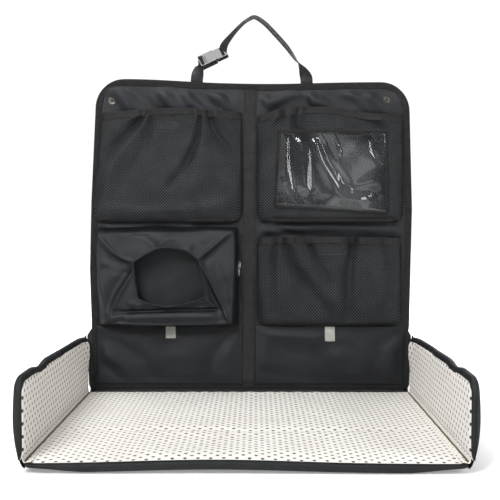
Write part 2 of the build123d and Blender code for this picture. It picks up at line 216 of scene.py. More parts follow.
def cloth_uv(p):
    """Distance along a grid of points in each direction, so a weave keeps its scale."""
    du = np.linalg.norm(np.diff(p, axis=0), axis=2).mean(1)
    dv = np.linalg.norm(np.diff(p, axis=1), axis=2).mean(0)
    u = np.concatenate([[0], np.cumsum(du)])
    v = np.concatenate([[0], np.cumsum(dv)])
    return np.stack(np.meshgrid(u, v, indexing="ij"), -1)


def surface(name, p, finish, uv=None, close_u=False, close_v=False, flip=False, thick=0):
    p = np.asarray(p, float)
    nu, nv = p.shape[:2]
    faces = quads(nu, nv, close_u, close_v)
    if flip:
        faces = faces[:, ::-1]
    uv = cloth_uv(p) if uv is None else uv
    piece = mesh_piece(name, p.reshape(-1, 3), faces, finish, uv.reshape(-1, 2))
    if thick:
        solidify(piece, thick)
    return piece


def solidify(piece, thick, offset=-1):
    shell = piece.modifiers.new("thickness", "SOLIDIFY")
    shell.thickness, shell.offset = thick * MM, offset
    shell.use_rim = True


def pad(name, front, back, finish, uv=None):
    """A closed form of two facing grids of points that share their outer edge."""
    nu, nv = front.shape[:2]
    faces = [quads(nu, nv), quads(nu, nv, start=nu * nv)[:, ::-1]]
    rim = [(i, 0) for i in range(nu)] + [(nu - 1, j) for j in range(1, nv)]
    rim += [(i, nv - 1) for i in range(nu - 2, -1, -1)] + [(0, j) for j in range(nv - 2, 0, -1)]
    ring = np.array([i * nv + j for i, j in rim])
    after = np.roll(ring, -1)
    faces.append(np.stack([ring, ring + nu * nv, after + nu * nv, after], 1))
    points = np.vstack([front.reshape(-1, 3), back.reshape(-1, 3)])
    uv = cloth_uv(front) if uv is None else uv
    return mesh_piece(name, points, np.vstack(faces), finish, np.vstack([uv.reshape(-1, 2)] * 2))


def tangents(path, closed=False):
    if closed:
        t = np.roll(path, -1, 0) - np.roll(path, 1, 0)
    else:
        t = np.gradient(path, axis=0)
    return t / np.linalg.norm(t, axis=1)[:, None]


def tube_faces(rings, around, copies=1):
    """Faces of closed tubes made of rings of points, one tube after another."""
    one = [list(f) for f in quads(rings, around, False, True)]
    one += [list(range(around))[::-1], list(range((rings - 1) * around, rings * around))]
    return [[k * rings * around + i for i in f] for k in range(copies) for f in one]


def sweep(name, path, across, section, finish, closed=False, out=None):
    """Carries a closed section of (across, out) points along a path."""
    path, section = np.asarray(path, float), np.asarray(section, float)
    t = tangents(path, closed)
    across = np.asarray(across, float) * np.ones_like(path)
    across = across - (across * t).sum(1)[:, None] * t
    across /= np.linalg.norm(across, axis=1)[:, None]
    out = np.cross(t, across) if out is None else np.asarray(out, float) * np.ones_like(path)
    p = path[:, None] + across[:, None] * section[None, :, :1] + out[:, None] * section[None, :, 1:]
    nu, nv = p.shape[:2]
    faces = quads(nu, nv, True, True) if closed else tube_faces(nu, nv)
    run = np.concatenate([[0], np.cumsum(np.linalg.norm(np.diff(path, axis=0), axis=1))])
    uv = np.stack([np.repeat(run, nv), np.tile(section[:, 0], nu)], 1)
    return mesh_piece(name, p.reshape(-1, 3), faces, finish, uv)


def strap_section(width, thick, ribs=0):
    """A flat band's section with rounded edges, and lengthwise ribs on both faces."""
    n = max(8, ribs * 4)
    a = np.linspace(-width / 2 + thick / 2, width / 2 - thick / 2, n)
    rise = 0.12 * np.cos(2 * math.pi * ribs * np.arange(n) / n) if ribs else np.zeros(n)
    top = np.stack([a, thick / 2 + rise], 1)
    low = np.stack([a[::-1], -thick / 2 - rise[::-1]], 1)
    near = width / 2 - thick * 0.15
    side = np.array([(near, thick * 0.35), (width / 2, 0), (near, -thick * 0.35)])
    return np.vstack([top, side, low, -side])


def ring_section(radius, count=8):
    a = np.arange(count) * 2 * math.pi / count
    return np.stack([radius * np.cos(a), radius * np.sin(a)], 1)


def stitches(name, path, normal, finish, pitch=3.4, length_each=2.3, radius=0.32, lift=0.1):
    """A row of thread stitches lying on a surface along a path."""
    path, n = np.asarray(path, float), np.asarray(normal, float)
    count = max(2, int(length(path) / pitch))
    mid = even(path, count)
    if n.ndim == 2:
        n = n[np.linspace(0, len(n) - 1, count).round().astype(int)]
    t, n = tangents(mid), n * np.ones_like(mid)
    # Each stitch has four rings of five points: place along it, width, and how far it dips at its ends.
    rings = np.array([(-0.5, 0.35, -0.5), (-0.3, 1, 0.35), (0.3, 1, 0.35), (0.5, 0.35, -0.5)])
    s, w, dip = rings.T[:, :, None]
    a = np.arange(5) * 2 * math.pi / 5
    local = (s * length_each, lift + radius * (dip + w * np.sin(a)), radius * w * np.cos(a))
    local = np.stack(np.broadcast_arrays(*local), -1)
    points = mid[:, None, None] + np.einsum("iqc,kcd->kiqd", local, np.stack([t, n, np.cross(t, n)], 1))
    return mesh_piece(name, points.reshape(-1, 3), tube_faces(4, 5, count), finish)


def lathe(name, profile, centre, finish, count=40, flip=False):
    """Turns (radius, y) points about an axis along Y through centre (x, z)."""
    a = np.arange(count) * 2 * math.pi / count
    p = [[(centre[0] + r * math.cos(t), y, centre[1] + r * math.sin(t)) for r, y in profile] for t in a]
    return surface(name, p, finish, close_u=True, close_v=True, flip=flip)


def settle(piece, body, slot, *replaced):
    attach(piece, body)
    if replaced:
        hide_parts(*replaced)
    return piece


def sew(name, path, normal, slot="black_polyester", body="organizer", finish=None, **shape):
    return settle(stitches(name, path, normal, finish or THREAD, **shape), body, slot)


def tape(name, path, across, section, *replaced, slot="black_tape", finish=None, **shape):
    """A swept band or cord on the organizer."""
    band = sweep(name, path, across, section, finish or BINDING, **shape)
    return settle(band, "organizer", slot, *replaced)


# ---- Finishes ----


class Finish:
    """A material whose nodes are built up step by step."""

    def __init__(self, name, **settings):
        self.material = bpy.data.materials.new(name)
        self.material.use_nodes = True
        self.tree = self.material.node_tree
        self.shader = self.tree.nodes["Principled BSDF"]
        for key, value in settings.items():
            self.put(key.replace("_", " "), value)

    def feed(self, socket, value):
        if isinstance(value, bpy.types.NodeSocket):
            self.tree.links.new(value, socket)
        elif value is not None:
            socket.default_value = value

    def put(self, name, value):
        self.feed(self.shader.inputs[name], value)

    def add(self, kind, *inputs, out=0, **settings):
        node = self.tree.nodes.new("ShaderNode" + kind)
        for key, value in settings.items():
            setattr(node, key, value)
        for index, value in enumerate(inputs):
            self.feed(node.inputs[index], value)
        return node.outputs[out]

    def math(self, operation, *inputs):
        return self.add("Math", *inputs, operation=operation)

    def place(self, kind="Object"):
        return self.add("TexCoord", out=kind)

    def cloth(self):
        """u and v of the piece's own flat cloth, in metres."""
        u = self.add("SeparateXYZ", self.place("UV"))
        return u, u.node.outputs[1]

    def wave(self, value, pitch, phase=0.0):
        """A sine from -1 to 1 with that pitch in metres."""
        return self.math("SINE", self.math("MULTIPLY_ADD", value, 2 * math.pi / pitch, phase))

    def noise(self, scale, detail=3.0):
        return self.add("TexNoise", self.place(), None, scale, detail, 0.5)

    def fade(self, value, low, high, to_low=0.0, to_high=1.0):
        return self.add("MapRange", value, low, high, to_low, to_high, interpolation_type="SMOOTHSTEP")

    def blend(self, factor, first, second):
        return self.add("Mix", factor, *[None] * 5, first, second, out=2, data_type="RGBA")

    def mixed(self, first, share, second, other_share):
        """first * share + second * other_share."""
        return self.math("MULTIPLY_ADD", first, share, self.math("MULTIPLY", second, other_share))

    def finish(self, colour, rough, height, depth, strength):
        """Rough is the scale and detail of its noise, then the lowest and highest roughness."""
        self.put("Base Color", colour)
        self.put("Roughness", self.fade(self.noise(*rough[:2]), 0.3, 0.7, *rough[2:]))
        bump = self.add("Bump", strength, depth)
        self.feed(bump.node.inputs["Height"], height)
        self.put("Normal", bump)
        return self.material


def rgb(r, g, b):
    """A colour given as 0 to 255 display values."""
    line = [c / 12.92 if c <= 0.04045 else ((c + 0.055) / 1.055) ** 2.4 for c in (r / 255, g / 255, b / 255)]
    return (*line, 1.0)


def woven(name, dark, light, pitch, rough=(0.45, 0.6), specular=0.5):
    """Plain-woven coated cloth: crossing threads, painted shade in their dips, and broad patches lighter and
    darker at random.
    """
    f = Finish(name, Specular_IOR_Level=specular)
    u, v = f.cloth()
    over = f.math("MULTIPLY", f.wave(u, pitch), f.wave(v, pitch))
    threads = f.math("ADD", over, f.math("MULTIPLY", f.noise(900, 2), 0.7))
    # Painted shade: darker where the threads dip. The broad noise varies the tone at random.
    tone = f.mixed(f.fade(threads, -1.0, 1.6), 0.55, f.fade(f.noise(14, 4), 0.35, 0.68), 0.45)
    return f.finish(f.blend(tone, dark, light), (35, 3, *rough), threads, 0.00012, 0.5)


def ribbed(name, dark, light, pitch, along="u", rough=(0.6, 0.8), depth=0.0003):
    """Tape, elastic or webbing with cross ribs."""
    f = Finish(name, Specular_IOR_Level=0.4)
    u, v = f.cloth() if along == "u" else f.cloth()[::-1]
    height = f.math("ADD", f.wave(u, pitch), f.math("MULTIPLY", f.wave(v, pitch * 0.6), 0.25))
    # Painted shade: darker in the valleys between the ribs, as the bump is. The broad noise is wear.
    tone = f.mixed(f.fade(height, -1.1, 1.1), 0.6, f.fade(f.noise(40, 4), 0.4, 0.75), 0.4)
    return f.finish(f.blend(tone, dark, light), (120, 2, *rough), height, depth, 0.7)


def printed(name):
    """Cream cotton with staggered round dots, slightly uneven as block printing is."""
    f = Finish(name, Specular_IOR_Level=0.25, Sheen_Weight=0.15, Sheen_Roughness=0.5)
    u, v = f.cloth()
    cell, radius = 0.0188, 0.0027
    wobble = f.math("MULTIPLY", f.math("SUBTRACT", f.noise(60, 2), 0.5), 0.002)
    distances = []
    for shift in (0.0, 0.5):
        parts = []
        for axis in (f.math("ADD", u, wobble), f.math("ADD", v, wobble)):
            turned = f.math("FRACT", f.math("ADD", f.math("DIVIDE", axis, cell), shift))
            parts.append(f.math("POWER", f.math("MULTIPLY", f.math("SUBTRACT", turned, 0.5), cell), 2.0))
        distances.append(f.math("SQRT", f.math("ADD", *parts)))
    near = f.math("MINIMUM", *distances)
    dot = f.math("SUBTRACT", 1.0, f.fade(near, radius * 0.86, radius * 1.12))
    ink = f.math("MULTIPLY", dot, f.fade(f.noise(700, 2), 0.15, 0.5, 0.8, 1.0))
    threads = f.math("MULTIPLY", f.wave(u, 0.0008), f.wave(v, 0.0008))
    fibre = f.math("ADD", threads, f.math("MULTIPLY", f.noise(700, 3), 0.8))
    cream = f.blend(f.fade(f.noise(9, 4), 0.3, 0.7), rgb(236, 232, 226), rgb(244, 241, 236))
    # Painted shade: the cream is darker where the weave's relief dips. The fibre noise in it is random.
    cream = f.blend(f.fade(fibre, -0.9, 1.6), rgb(224, 219, 211), cream)
    return f.finish(f.blend(ink, cream, rgb(38, 38, 50)), (90, 2, 0.72, 0.88), fibre, 0.00015, 0.5)


def netting():
    """Black knitted net with a highlight painted on each knot."""
    f = Finish("black_netting", Specular_IOR_Level=0.3)
    # Painted highlight: the base colour is lighter at every knot, standing in for light caught there.
    knot_highlight = f.math("MULTIPLY", *[f.wave(a, 2 * NET_STEP * MM, math.pi / 2) for a in f.cloth()])
    tone = f.math("MULTIPLY", f.fade(knot_highlight, 0.1, 0.85), f.fade(f.noise(26, 3), 0.3, 0.7, 0.55, 1.0))
    colour = f.blend(tone, rgb(13, 14, 16), rgb(82, 85, 89))
    return f.finish(colour, (300, 2, 0.4, 0.6), f.noise(2400, 2), 0.0001, 0.4)


def hooks():
    f = Finish("hook_and_loop", Specular_IOR_Level=0.3, Sheen_Weight=0.3)
    pile = f.add("TexVoronoi", f.place(), None, 1100.0)
    height = f.math("ADD", pile, f.math("MULTIPLY", f.wave(f.cloth()[1], 0.0016), 0.4))
    colour = f.blend(f.fade(height, -0.2, 1.1), rgb(58, 62, 66), rgb(24, 26, 29))
    return f.finish(colour, (200, 2, 0.75, 0.95), height, 0.0005, 0.8)


def vinyl():
    f = Finish("clear_vinyl", Specular_IOR_Level=1.0, IOR=1.6, Coat_Weight=1.0, Coat_Roughness=0.04)
    # Broad noise patches where the sheet is greyer and less clear: partly its own haze, partly painted
    # reflection of the studio lights.
    haze_and_reflection = f.fade(f.noise(10, 3), 0.35, 0.7)
    f.put("Alpha", f.fade(haze_and_reflection, 0.0, 1.0, 0.24, 0.42))
    colour = f.blend(haze_and_reflection, rgb(34, 37, 39), rgb(92, 97, 99))
    return f.finish(colour, (30, 2, 0.07, 0.14), f.noise(26, 1), 0.0004, 0.15)


def moulded(name, dark, light, rough, grain=0.00005, metallic=0.0, specular=0.6, coat=0.0):
    """Moulded plastic or cast metal: fine grain and rubbed places."""
    f = Finish(name, Specular_IOR_Level=specular, Metallic=metallic, Coat_Weight=coat, Coat_Roughness=0.08)
    colour = f.blend(f.fade(f.noise(160, 5), 0.38, 0.72), dark, light)
    return f.finish(colour, (300, 4, *rough), f.noise(1500, 3), grain, 0.4)


def core(name, dark, light, scale):
    """Foam or board inside the covers."""
    f = Finish(name, Specular_IOR_Level=0.2)
    cells = f.add("TexVoronoi", f.place(), None, scale)
    # Painted shade: darker in the pits of the cells, which the bump sinks.
    return f.finish(f.blend(f.fade(cells, 0.0, 0.9), dark, light), (100, 2, 0.85, 0.98), cells, 0.0006, 0.6)


BLACK_CLOTH = woven("black_polyester", rgb(11, 13, 16), rgb(29, 32, 37), 0.0009, (0.34, 0.46), specular=0.3)
BLACK_SHELL = woven(
    "black_polyester_shell", rgb(14, 16, 18), rgb(32, 34, 37), 0.0009, (0.5, 0.66), specular=0.3
)
PRINT = printed("cream_print")
NET = netting()
BINDING = ribbed("black_grosgrain", rgb(12, 11, 11), rgb(32, 30, 29), 0.0014, "u", (0.7, 0.85))
SPINE = ribbed("black_spine_tape", rgb(16, 15, 16), rgb(40, 37, 38), 0.0022, "v", (0.6, 0.75))
ELASTIC = ribbed("black_elastic", rgb(9, 9, 10), rgb(24, 24, 24), 0.0016, "v", (0.55, 0.7), 0.0002)
WEBBING = ribbed("black_webbing", rgb(22, 24, 27), rgb(34, 37, 41), 0.0017, "u", (0.5, 0.66), 0.00003)
GREY_RIBBON = ribbed("grey_ribbon", rgb(150, 151, 147), rgb(196, 197, 192), 0.0011, "v", (0.45, 0.6), 0.0002)
TAN = ribbed("tan_tape", rgb(86, 72, 54), rgb(134, 116, 92), 0.0013, "u", (0.65, 0.8), 0.0002)
HOOKS = hooks()
VINYL = vinyl()
PLASTIC = moulded(
    "buckle_plastic", rgb(31, 32, 34), rgb(37, 39, 42), (0.2, 0.3), 0.00001, specular=0.8, coat=0.55
)
SNAP = moulded("snap_metal", rgb(96, 91, 84), rgb(148, 141, 131), (0.28, 0.45), metallic=1.0)
ZIP = moulded("zip_metal", rgb(120, 122, 126), rgb(190, 192, 196), (0.2, 0.38), metallic=1.0)
COIL = moulded("zipper_coil", rgb(24, 24, 26), rgb(52, 53, 56), (0.35, 0.5))
THREAD = woven("black_thread", rgb(13, 13, 14), rgb(32, 32, 34), 0.0005, (0.5, 0.7))
PALE_THREAD = woven("cream_thread", rgb(200, 194, 182), rgb(236, 231, 222), 0.0005, (0.6, 0.8))
FOAM = core("foam", rgb(150, 146, 134), rgb(214, 210, 198), 500.0)
BOARD = core("stiffener_board", rgb(70, 66, 60), rgb(116, 110, 100), 260.0)

# ---- Panel outline ----

PANEL_HALF = 317
TOP_Z = 640
FOOT_Z = 22
TOP_RADIUS = 55
FOOT_RADIUS = 8


def side_x(z, sign):
    """X of the organizer's edge at a height: the stiff panel bows out a little at its middle."""
    left = np.interp(z, [22, 142, 265, 400, 574, 640], [-317, -317.5, -320.6, -317, -308, -305])
    right = np.interp(z, [22, 132, 150, 260, 386, 574, 640], [320.5, 321, 323, 325, 327.5, 322, 319])
    return np.where(sign > 0, right, left)


def top_rise(x):
    """How far the top edge stands above its nominal height: one shoulder sits higher, and the middle sags."""
    return 6.5 * ramp(-x, 60, 260) - 3.5 * bell(x, 35, 120)


def settle_outline(x, z):
    """Moves a point of the straight panel to the settled shape of the real one."""
    left, right = side_x(z, -1), side_x(z, 1)
    return (left + right) / 2 + x / PANEL_HALF * (right - left) / 2, z + top_rise(x) * ramp(z, 260, TOP_Z)


def panel_grid(inset, step=5.0):
    half, low, high = PANEL_HALF - inset, FOOT_Z + inset, TOP_Z - inset
    x, z = grid(stations(-half, half, step), stations(low, high, step))
    return settle_outline(*rounded(x, z, half, low, high, FOOT_RADIUS, TOP_RADIUS - inset))


def outline_path(inset, step=4.0):
    """The panel's edge as a closed path of (x, z)."""
    h, low, high, radius = PANEL_HALF - inset, FOOT_Z + inset, TOP_Z - inset, TOP_RADIUS - inset
    corners = [
        (h, low, FOOT_RADIUS, -90), (h, high, radius, 0), (-h, high, radius, 90), (-h, low, FOOT_RADIUS, 180)
    ]
    line = []
    for cx, cz, radius, start in corners:
        ox, oz = cx - math.copysign(radius, cx), cz + (radius if cz == low else -radius)
        for a in np.radians(np.linspace(start, start + 90, 15 if radius > 20 else 5)):
            line.append((ox + radius * math.cos(a), oz + radius * math.sin(a)))
    line = np.array([*line, line[0]])
    line = even(line, int(length(line) / step))[:-1]
    return np.stack(settle_outline(line[:, 0], line[:, 1]), 1)


# ---- Mat ----


def mat_lift(x, y):
    """The front edge arches off the floor a little in the middle."""
    return 6.0 * bell(x, -45, 165) * ramp(-y, 90, 290)


MAT_FOLDS = (
    # The crease across the mat and the ridge in front of it.
    (17, 15, -4.4, -3.4, -330, -62, -120, -72, 60, -80, 200, -66, 330, -58),
    (22, 22, 1.6, 1.4, -330, -92, -60, -104, 200, -98, 330, -90),
    # Dents at the organizer's foot, and a low ridge from the right rear.
    (26, 40, -2.4, -0.8, -20, 276, 10, 225, -8, 130),
    (14, 36, -3.2, -0.8, 118, 286, 128, 215, 150, 120),
    (22, 34, -1.8, -0.5, -190, 284, -150, 200),
    (26, 30, 1.2, 0.6, 240, 250, 140, 90, 60, -30),
)


def mat_edges(x, y):
    return MAT_HALF_X - np.abs(x), MAT_HALF_Y - np.abs(y)


def mat_crown(x, y):
    """Height of the padded top above its side seam."""
    ex, ey = mat_edges(x, y)
    edge = np.minimum(ex, ey)
    crown = 1.5 * (1 - (x / MAT_HALF_X) ** 4) * (1 - (y / MAT_HALF_Y) ** 4) + folds(x, y, MAT_FOLDS)
    crown += 1.6 * lumps(x, y, 95, 1) + 1.3 * lumps(x, y, 34, 2) * ramp(-edge, -120, -8)
    crown += 0.7 * lumps(x * 0.6 + y, y * 1.4, 22, 9)
    pucker = 0.45 * np.sin(x / 5.2 + 2 * lumps(x, y, 40, 3)) * bell(ey, 6, 7)
    pucker += 0.35 * np.sin(y / 5.6 + 2 * lumps(x, y, 40, 4)) * bell(ex, 6, 7)
    return 2.7 * quarter(edge / 17) + crown * ramp(edge, 0, 34) + pucker - 3.0 * ramp(-y, 235, 288)


def under_wings(x, height):
    """Keeps the padded top low along the sides, where a folded wing comes to lie on it."""
    level, room = 16.3, 0.9
    low = np.where(height > level, level + room * np.tanh((height - level) / room), height)
    return height + (low - height) * ramp(np.abs(x), 150, 200)


def mat_grid(step=6.0):
    x, y = grid(stations(-MAT_HALF_X, MAT_HALF_X, step), stations(-MAT_HALF_Y, MAT_HALF_Y, step))
    return rounded(x, y, MAT_HALF_X, -MAT_HALF_Y, MAT_HALF_Y, 10, 10)


# Rings of the mat's black shell, from under the printed top out and round to below: (growth, z).
SHELL_RINGS = (
    (-60, 8.0), (-30, 8.6), (-12, 12.0), (-5, 14.2), (-1.2, 14.9), (0.6, 13.6), (1.6, 11.4), (2.1, 8.6),
    (1.4, 5.4), (-0.6, 2.4), (-3.6, 0.9), (-9, 0.5), (-30, 0.45), (-120, 0.45), (-270, 0.45),
)


def make_mat():
    x, y = mat_grid()
    seam_z = 15.4 - 1.4 * ramp(-y, 270, 290)
    lift = mat_lift(x, y)
    top = np.stack([x, y, under_wings(x, seam_z + mat_crown(x, y) + lift)], -1)
    under = np.stack([x, y, seam_z - 1.4 - 5 * ramp(np.minimum(*mat_edges(x, y)), 0, 6) + lift], -1)
    cover = pad("mat_printed_pad", top, under, PRINT, uv=np.stack([x, y], -1) + (4.7, 5.0))
    settle(cover, "mat", "cream_print", "mat_top_cover", "mat_foam")

    rows = []
    for grow, z in SHELL_RINGS:
        shape = mat_rim(grow)
        x, y = shape.T
        high, belly = z > 5, 3 < z < 14
        lift = mat_lift(x, y) * (1 if grow > -40 or high else 0.4) * (1 if high else 0.92)
        sag = 0.35 * lumps(x, y, 60, 5) * (2 < z < 14)
        out = shape * (1 + 0.7 * lumps(x + z * 3, y, 45, 6) * belly / 400)[:, None]
        corner = 7.5 * ramp(np.abs(x), 225, 322) * ramp(-y, 190, 290) * (1 - z / 15)
        rows.append(np.column_stack([out, z + lift + sag + corner]))
    shell = surface("mat_black_shell", np.array(rows), BLACK_SHELL, close_v=True)
    close_end(shell, len(rows[0]), (len(rows) - 1) * len(rows[0]))
    settle(shell, "mat", "black_polyester", "mat_bottom_cover", "mat_base_board")

    seam = mat_rim(0.1)[::-1]
    line = np.column_stack([seam, 15.0 + mat_lift(*seam.T)])
    piping = sweep("mat_seam_piping", line, (0, 0, 1), ring_section(1.0), BINDING, closed=True)
    settle(piping, "mat", "black_tape")
    front = [(x, -MAT_HALF_Y - 1.95, 10.9 + mat_lift(x, -MAT_HALF_Y)) for x in np.linspace(-308, 308, 120)]
    sew("mat_front_stitching", front, (0, -1, 0.15), body="mat", lift=0)


def mat_rim(grow):
    """The mat's outline grown or shrunk, as a closed path of (x, y)."""
    a, b, radius = MAT_HALF_X + grow, MAT_HALF_Y + grow, max(12 + grow, 1.0)
    line = []
    for sx, sy, start in ((1, -1, -90), (1, 1, 0), (-1, 1, 90), (-1, -1, 180)):
        for t in np.radians(np.linspace(start, start + 90, 9)):
            line.append((sx * (a - radius) + radius * math.cos(t), sy * (b - radius) + radius * math.sin(t)))
    return even(np.array([*line, line[0]]), 421)[:-1]


def close_end(piece, count, first):
    """Caps the first and the last ring of a surface."""
    made = bmesh.new()
    made.from_mesh(piece.data)
    made.verts.ensure_lookup_table()
    made.faces.new([made.verts[first + k] for k in range(count)])
    made.faces.new([made.verts[k] for k in range(count)][::-1])
    bmesh.ops.recalc_face_normals(made, faces=made.faces)
    made.to_mesh(piece.data)
    made.free()


# ---- Wings ----

WING_FRONT_Y = -290
WING_REAR_Y = 284
WING_LOW = 19.5
WING_X = 322.8
WING_MIDDLE = 6.9  # from the inner face to the middle of the padding
INNER_FOLDS = (
    (16, 22, -2.34, -0.54, -200, 118, -150, 60, -120, 8), (12, 16, 1.8, 0.5, -150, 116, -90, 84, 10, 70),
    (18, 18, 1.4, 0.3, 60, 112, 120, 60, 130, 10),
)
OUTER_FOLD = (12, 20, -3.5, -1.0, -160, 118, -150, 20)


def wing_top(y):
    """Height of the wing's upper edge above its fold."""
    tall = 121.5 - 6.0 * bell(y, -138, 34) - 10.5 * np.clip((y + 100) / 384, 0, 1)
    for reach, radius in ((y - WING_FRONT_Y, 27), (WING_REAR_Y - y, 14)):
        inside = np.clip(radius - reach, 0, radius)
        tall = tall - (radius - np.sqrt(radius**2 - inside**2))
    return tall


def wing_point(y, around, side):
    """A point of the padded wing. Around is 0 at the fold, 0.5 at the top and 1 back at the fold, outside."""
    high = wing_top(y)
    close = quarter(np.minimum(y - WING_FRONT_Y, WING_REAR_Y - y) / 9)
    share = np.where(around < 0.5, around * 2, (1 - around) * 2)
    h = high * share
    arch = np.sin(math.pi * share)
    swell = quarter(share / 0.16) * np.sqrt(np.clip(1 - ((np.clip(share, 0.93, 1) - 0.93) / 0.07) ** 2, 0, 1))

    inner = folds(y, h, INNER_FOLDS) + 1.3 * lumps(y, h, 60, 7) - (1.4 + 3.0 * bell(y, 246, 60)) * arch
    inner += 0.7 * np.sin(y / 7.5 + 3 * lumps(y, h, 50, 8)) * bell(share, 0.9, 0.09)
    inner = np.where(inner < 0, np.tanh(inner), inner)
    outer = 2.4 * arch + lumps(y, h, 75, 9) + fold(y, h, OUTER_FOLD)
    tuck = quarter(share / (0.16 + 0.4 * ramp(-y, 120, 290)))
    reach = np.where(around < 0.5, inner + 1.6, (13.0 + outer) * (0.35 + 0.65 * tuck)) - WING_MIDDLE

    lean = 3.5 * ramp(y, 0, 240) * share + 1.5 * share - share**2 * ramp(-y, 180, 290)
    lean -= 6.0 * ramp(y, 236, 276) * ramp(share, 0.3, 0.75)
    lean += 1.6 * bell(y, 115, 80) * ramp(share, 0.15, 0.5) * (side > 0)
    lean -= 5.0 * (1 - close) * (y > 0)
    x = WING_X + WING_MIDDLE + reach * swell * close + lean
    return np.stack([side * x, y, WING_LOW + h], -1)


def make_wing(side, body):
    y = stations(WING_FRONT_Y, WING_REAR_Y, 6.0, (0, 0.4, 1.2, 2.6, 4.6, 7.4, 11))
    around = [np.linspace(0, 0.44, 26), np.linspace(0.45, 0.55, 14), np.linspace(0.56, 1, 26)[:-1]]
    around = np.concatenate(around)
    points = wing_point(*grid(y, around), side)
    shell = surface(f"{body}_padded_shell", points, BLACK_SHELL, close_v=True, flip=side > 0)
    close_end(shell, len(around), (len(y) - 1) * len(around))
    settle(shell, body, "black_polyester", f"{body}_shell", f"{body}_foam", f"{body}_board")

    front, rear = WING_FRONT_Y + 5, WING_REAR_Y - 6
    share = np.concatenate([[0.005, 0.015], np.linspace(0.03, 0.985, 30), [0.995, 1.0]])
    y, share = grid(stations(front, rear, 6.0, (0, 0.8, 2, 4, 7)), share)
    high = wing_top(y)
    p = wing_point(y, share * (high - 9.5) / high * 0.5, side)
    edge = np.minimum(np.minimum(y - front, rear - y), (1 - share) * high)
    p[..., 0] -= side * (0.9 * ramp(edge, -0.5, 4) + 0.15)
    uv = np.stack([y, p[..., 2]], -1) + (2.0, 3.0)
    lining = surface(f"{body}_printed_lining", p, PRINT, uv=uv, flip=side < 0, thick=0.7)
    settle(lining, body, "cream_print", f"{body}_lining")
    sew(f"{body}_lining_stitching", p[3:-3, -1] + (-side * 0.3, 0, 0.9), (-side, 0, 0), body=body)


# The strips that join a wing to the mat: (x, z) across them.
INNER_STRIP = [
    (311, 17.6), (315, 17.3), (318, 16.6), (320.4, 16.0), (321.9, 16.6), (322.9, 18.6), (323.6, 21.6),
    (323.9, 25.0),
]
OUTER_STRIP = [
    (321, 8.0), (323.6, 10.4), (325.4, 13.6), (326.9, 17.0), (328.2, 20.4), (329.6, 24.6), (331.4, 30.0),
]


def make_fold(side, body):
    """The sewn strips that join a wing to the mat: printed with a tan seam inside, black outside."""
    ys = stations(-286, 282, 7.0, (0, 1, 3, 6))
    for label, finish, slot, profile, thick in (
        ("inner_fold", PRINT, "cream_print", INNER_STRIP, 0.8),
        ("outer_fold", BLACK_SHELL, "black_polyester", OUTER_STRIP, 0.9),
    ):
        line = spline(profile, 14)
        y, k = grid(ys, np.arange(len(line)))
        x, z = line[k, 0], line[k, 1]
        p = np.stack([side * (x + 0.35 * lumps(y, z * 2, 24, 10)), y, z], -1)
        p[..., 2] += mat_lift(p[..., 0], y) * 0.5
        uv = np.stack([y, 1.3 * (k + 1)], -1)
        strip = surface(f"{body}_{label}", p, finish, uv=uv, flip=side > 0, thick=thick)
        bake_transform(strip)
    seam = [(side * (320.9 + 0.3 * math.sin(y / 11)), y, 17.5) for y in np.linspace(-283, 280, 150)]
    tan = sweep(f"{body}_fold_seam", seam, (side * 0.7, 0, 0.7), strap_section(3.0, 0.9), TAN)
    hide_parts("left_hinge_tape" if side < 0 else "right_hinge_tape")
    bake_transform(tan)


# ---- Organizer panel ----

# Folds of the organizer's front cloth: above the upper pockets, between the pocket rows, and at the foot.
FRONT_FOLDS = (
    (13, 17, 2.6, 1.0, -262, 622, -238, 590, -214, 566),
    (7, 9, -2.6, -1.2, -226, 626, -202, 596, -186, 574),
    (11, 14, 3.0, 1.2, -176, 624, -158, 600, -140, 580), (10, 12, 2.6, 1.4, -128, 626, -120, 604, -96, 584),
    (7, 9, -2.8, -1.4, -106, 624, -88, 604, -72, 590), (10, 14, 2.4, 1.0, -76, 622, -52, 604, -20, 590),
    (8, 8, -1.8, -1.0, -44, 618, -36, 600, -30, 586), (8, 12, 2.4, 2.0, 24, 610, 40, 598, 62, 603, 84, 618),
    (9, 12, -2.2, -1.8, 60, 588, 84, 600, 110, 598), (9, 12, 2.8, 1.6, 120, 620, 128, 604, 148, 596),
    (9, 12, -2.2, -1.6, 160, 618, 178, 602, 206, 600), (10, 12, 2.6, 1.4, 196, 622, 216, 606, 232, 588),
    (11, 16, 1.8, 0.8, 238, 618, 262, 590, 300, 566), (7, 9, 1.6, 1.4, -300, 352, -180, 342, -30, 350),
    (8, 8, 1.6, 1.2, 30, 344, 160, 350, 300, 342), (5, 5, -1.0, -0.8, 20, 330, 100, 337, 180, 330),
    (12, 12, 1.0, 1.4, -290, 22, -100, 30, 100, 26, 290, 30), (5, 8, 1.6, 1.0, 20, 372, 60, 352, 110, 345),
    (4, 6, -1.6, -1.0, 30, 360, 80, 340),
)
BACK_FOLDS = (
    (16, 16, -1.8, -1.8, -320, 330, 0, 322, 320, 334), (26, 40, 1.8, 0.8, -200, 600, -60, 420, -40, 200),
    (26, 40, 1.6, 0.8, 220, 590, 120, 440, 180, 150),
)
# The binding's section: distance in from the panel's edge, and depth.
BINDING_SECTION = [
    (14.2, -5.1), (13.6, -6.2), (10, -6.5), (5, -6.6), (1.4, -6.1), (-0.5, -4.4), (-1.2, 0), (-0.5, 4.6),
    (1.4, 6.1), (5, 6.6), (10, 6.5), (13.6, 6.2), (14.2, 5.2), (12.6, 4.8), (3, 4.6), (3, -4.6),
    (12.6, -4.8),
]
MIDDLE_Y = 295.3  # of the panel's thickness
MIDDLE_Z = 330


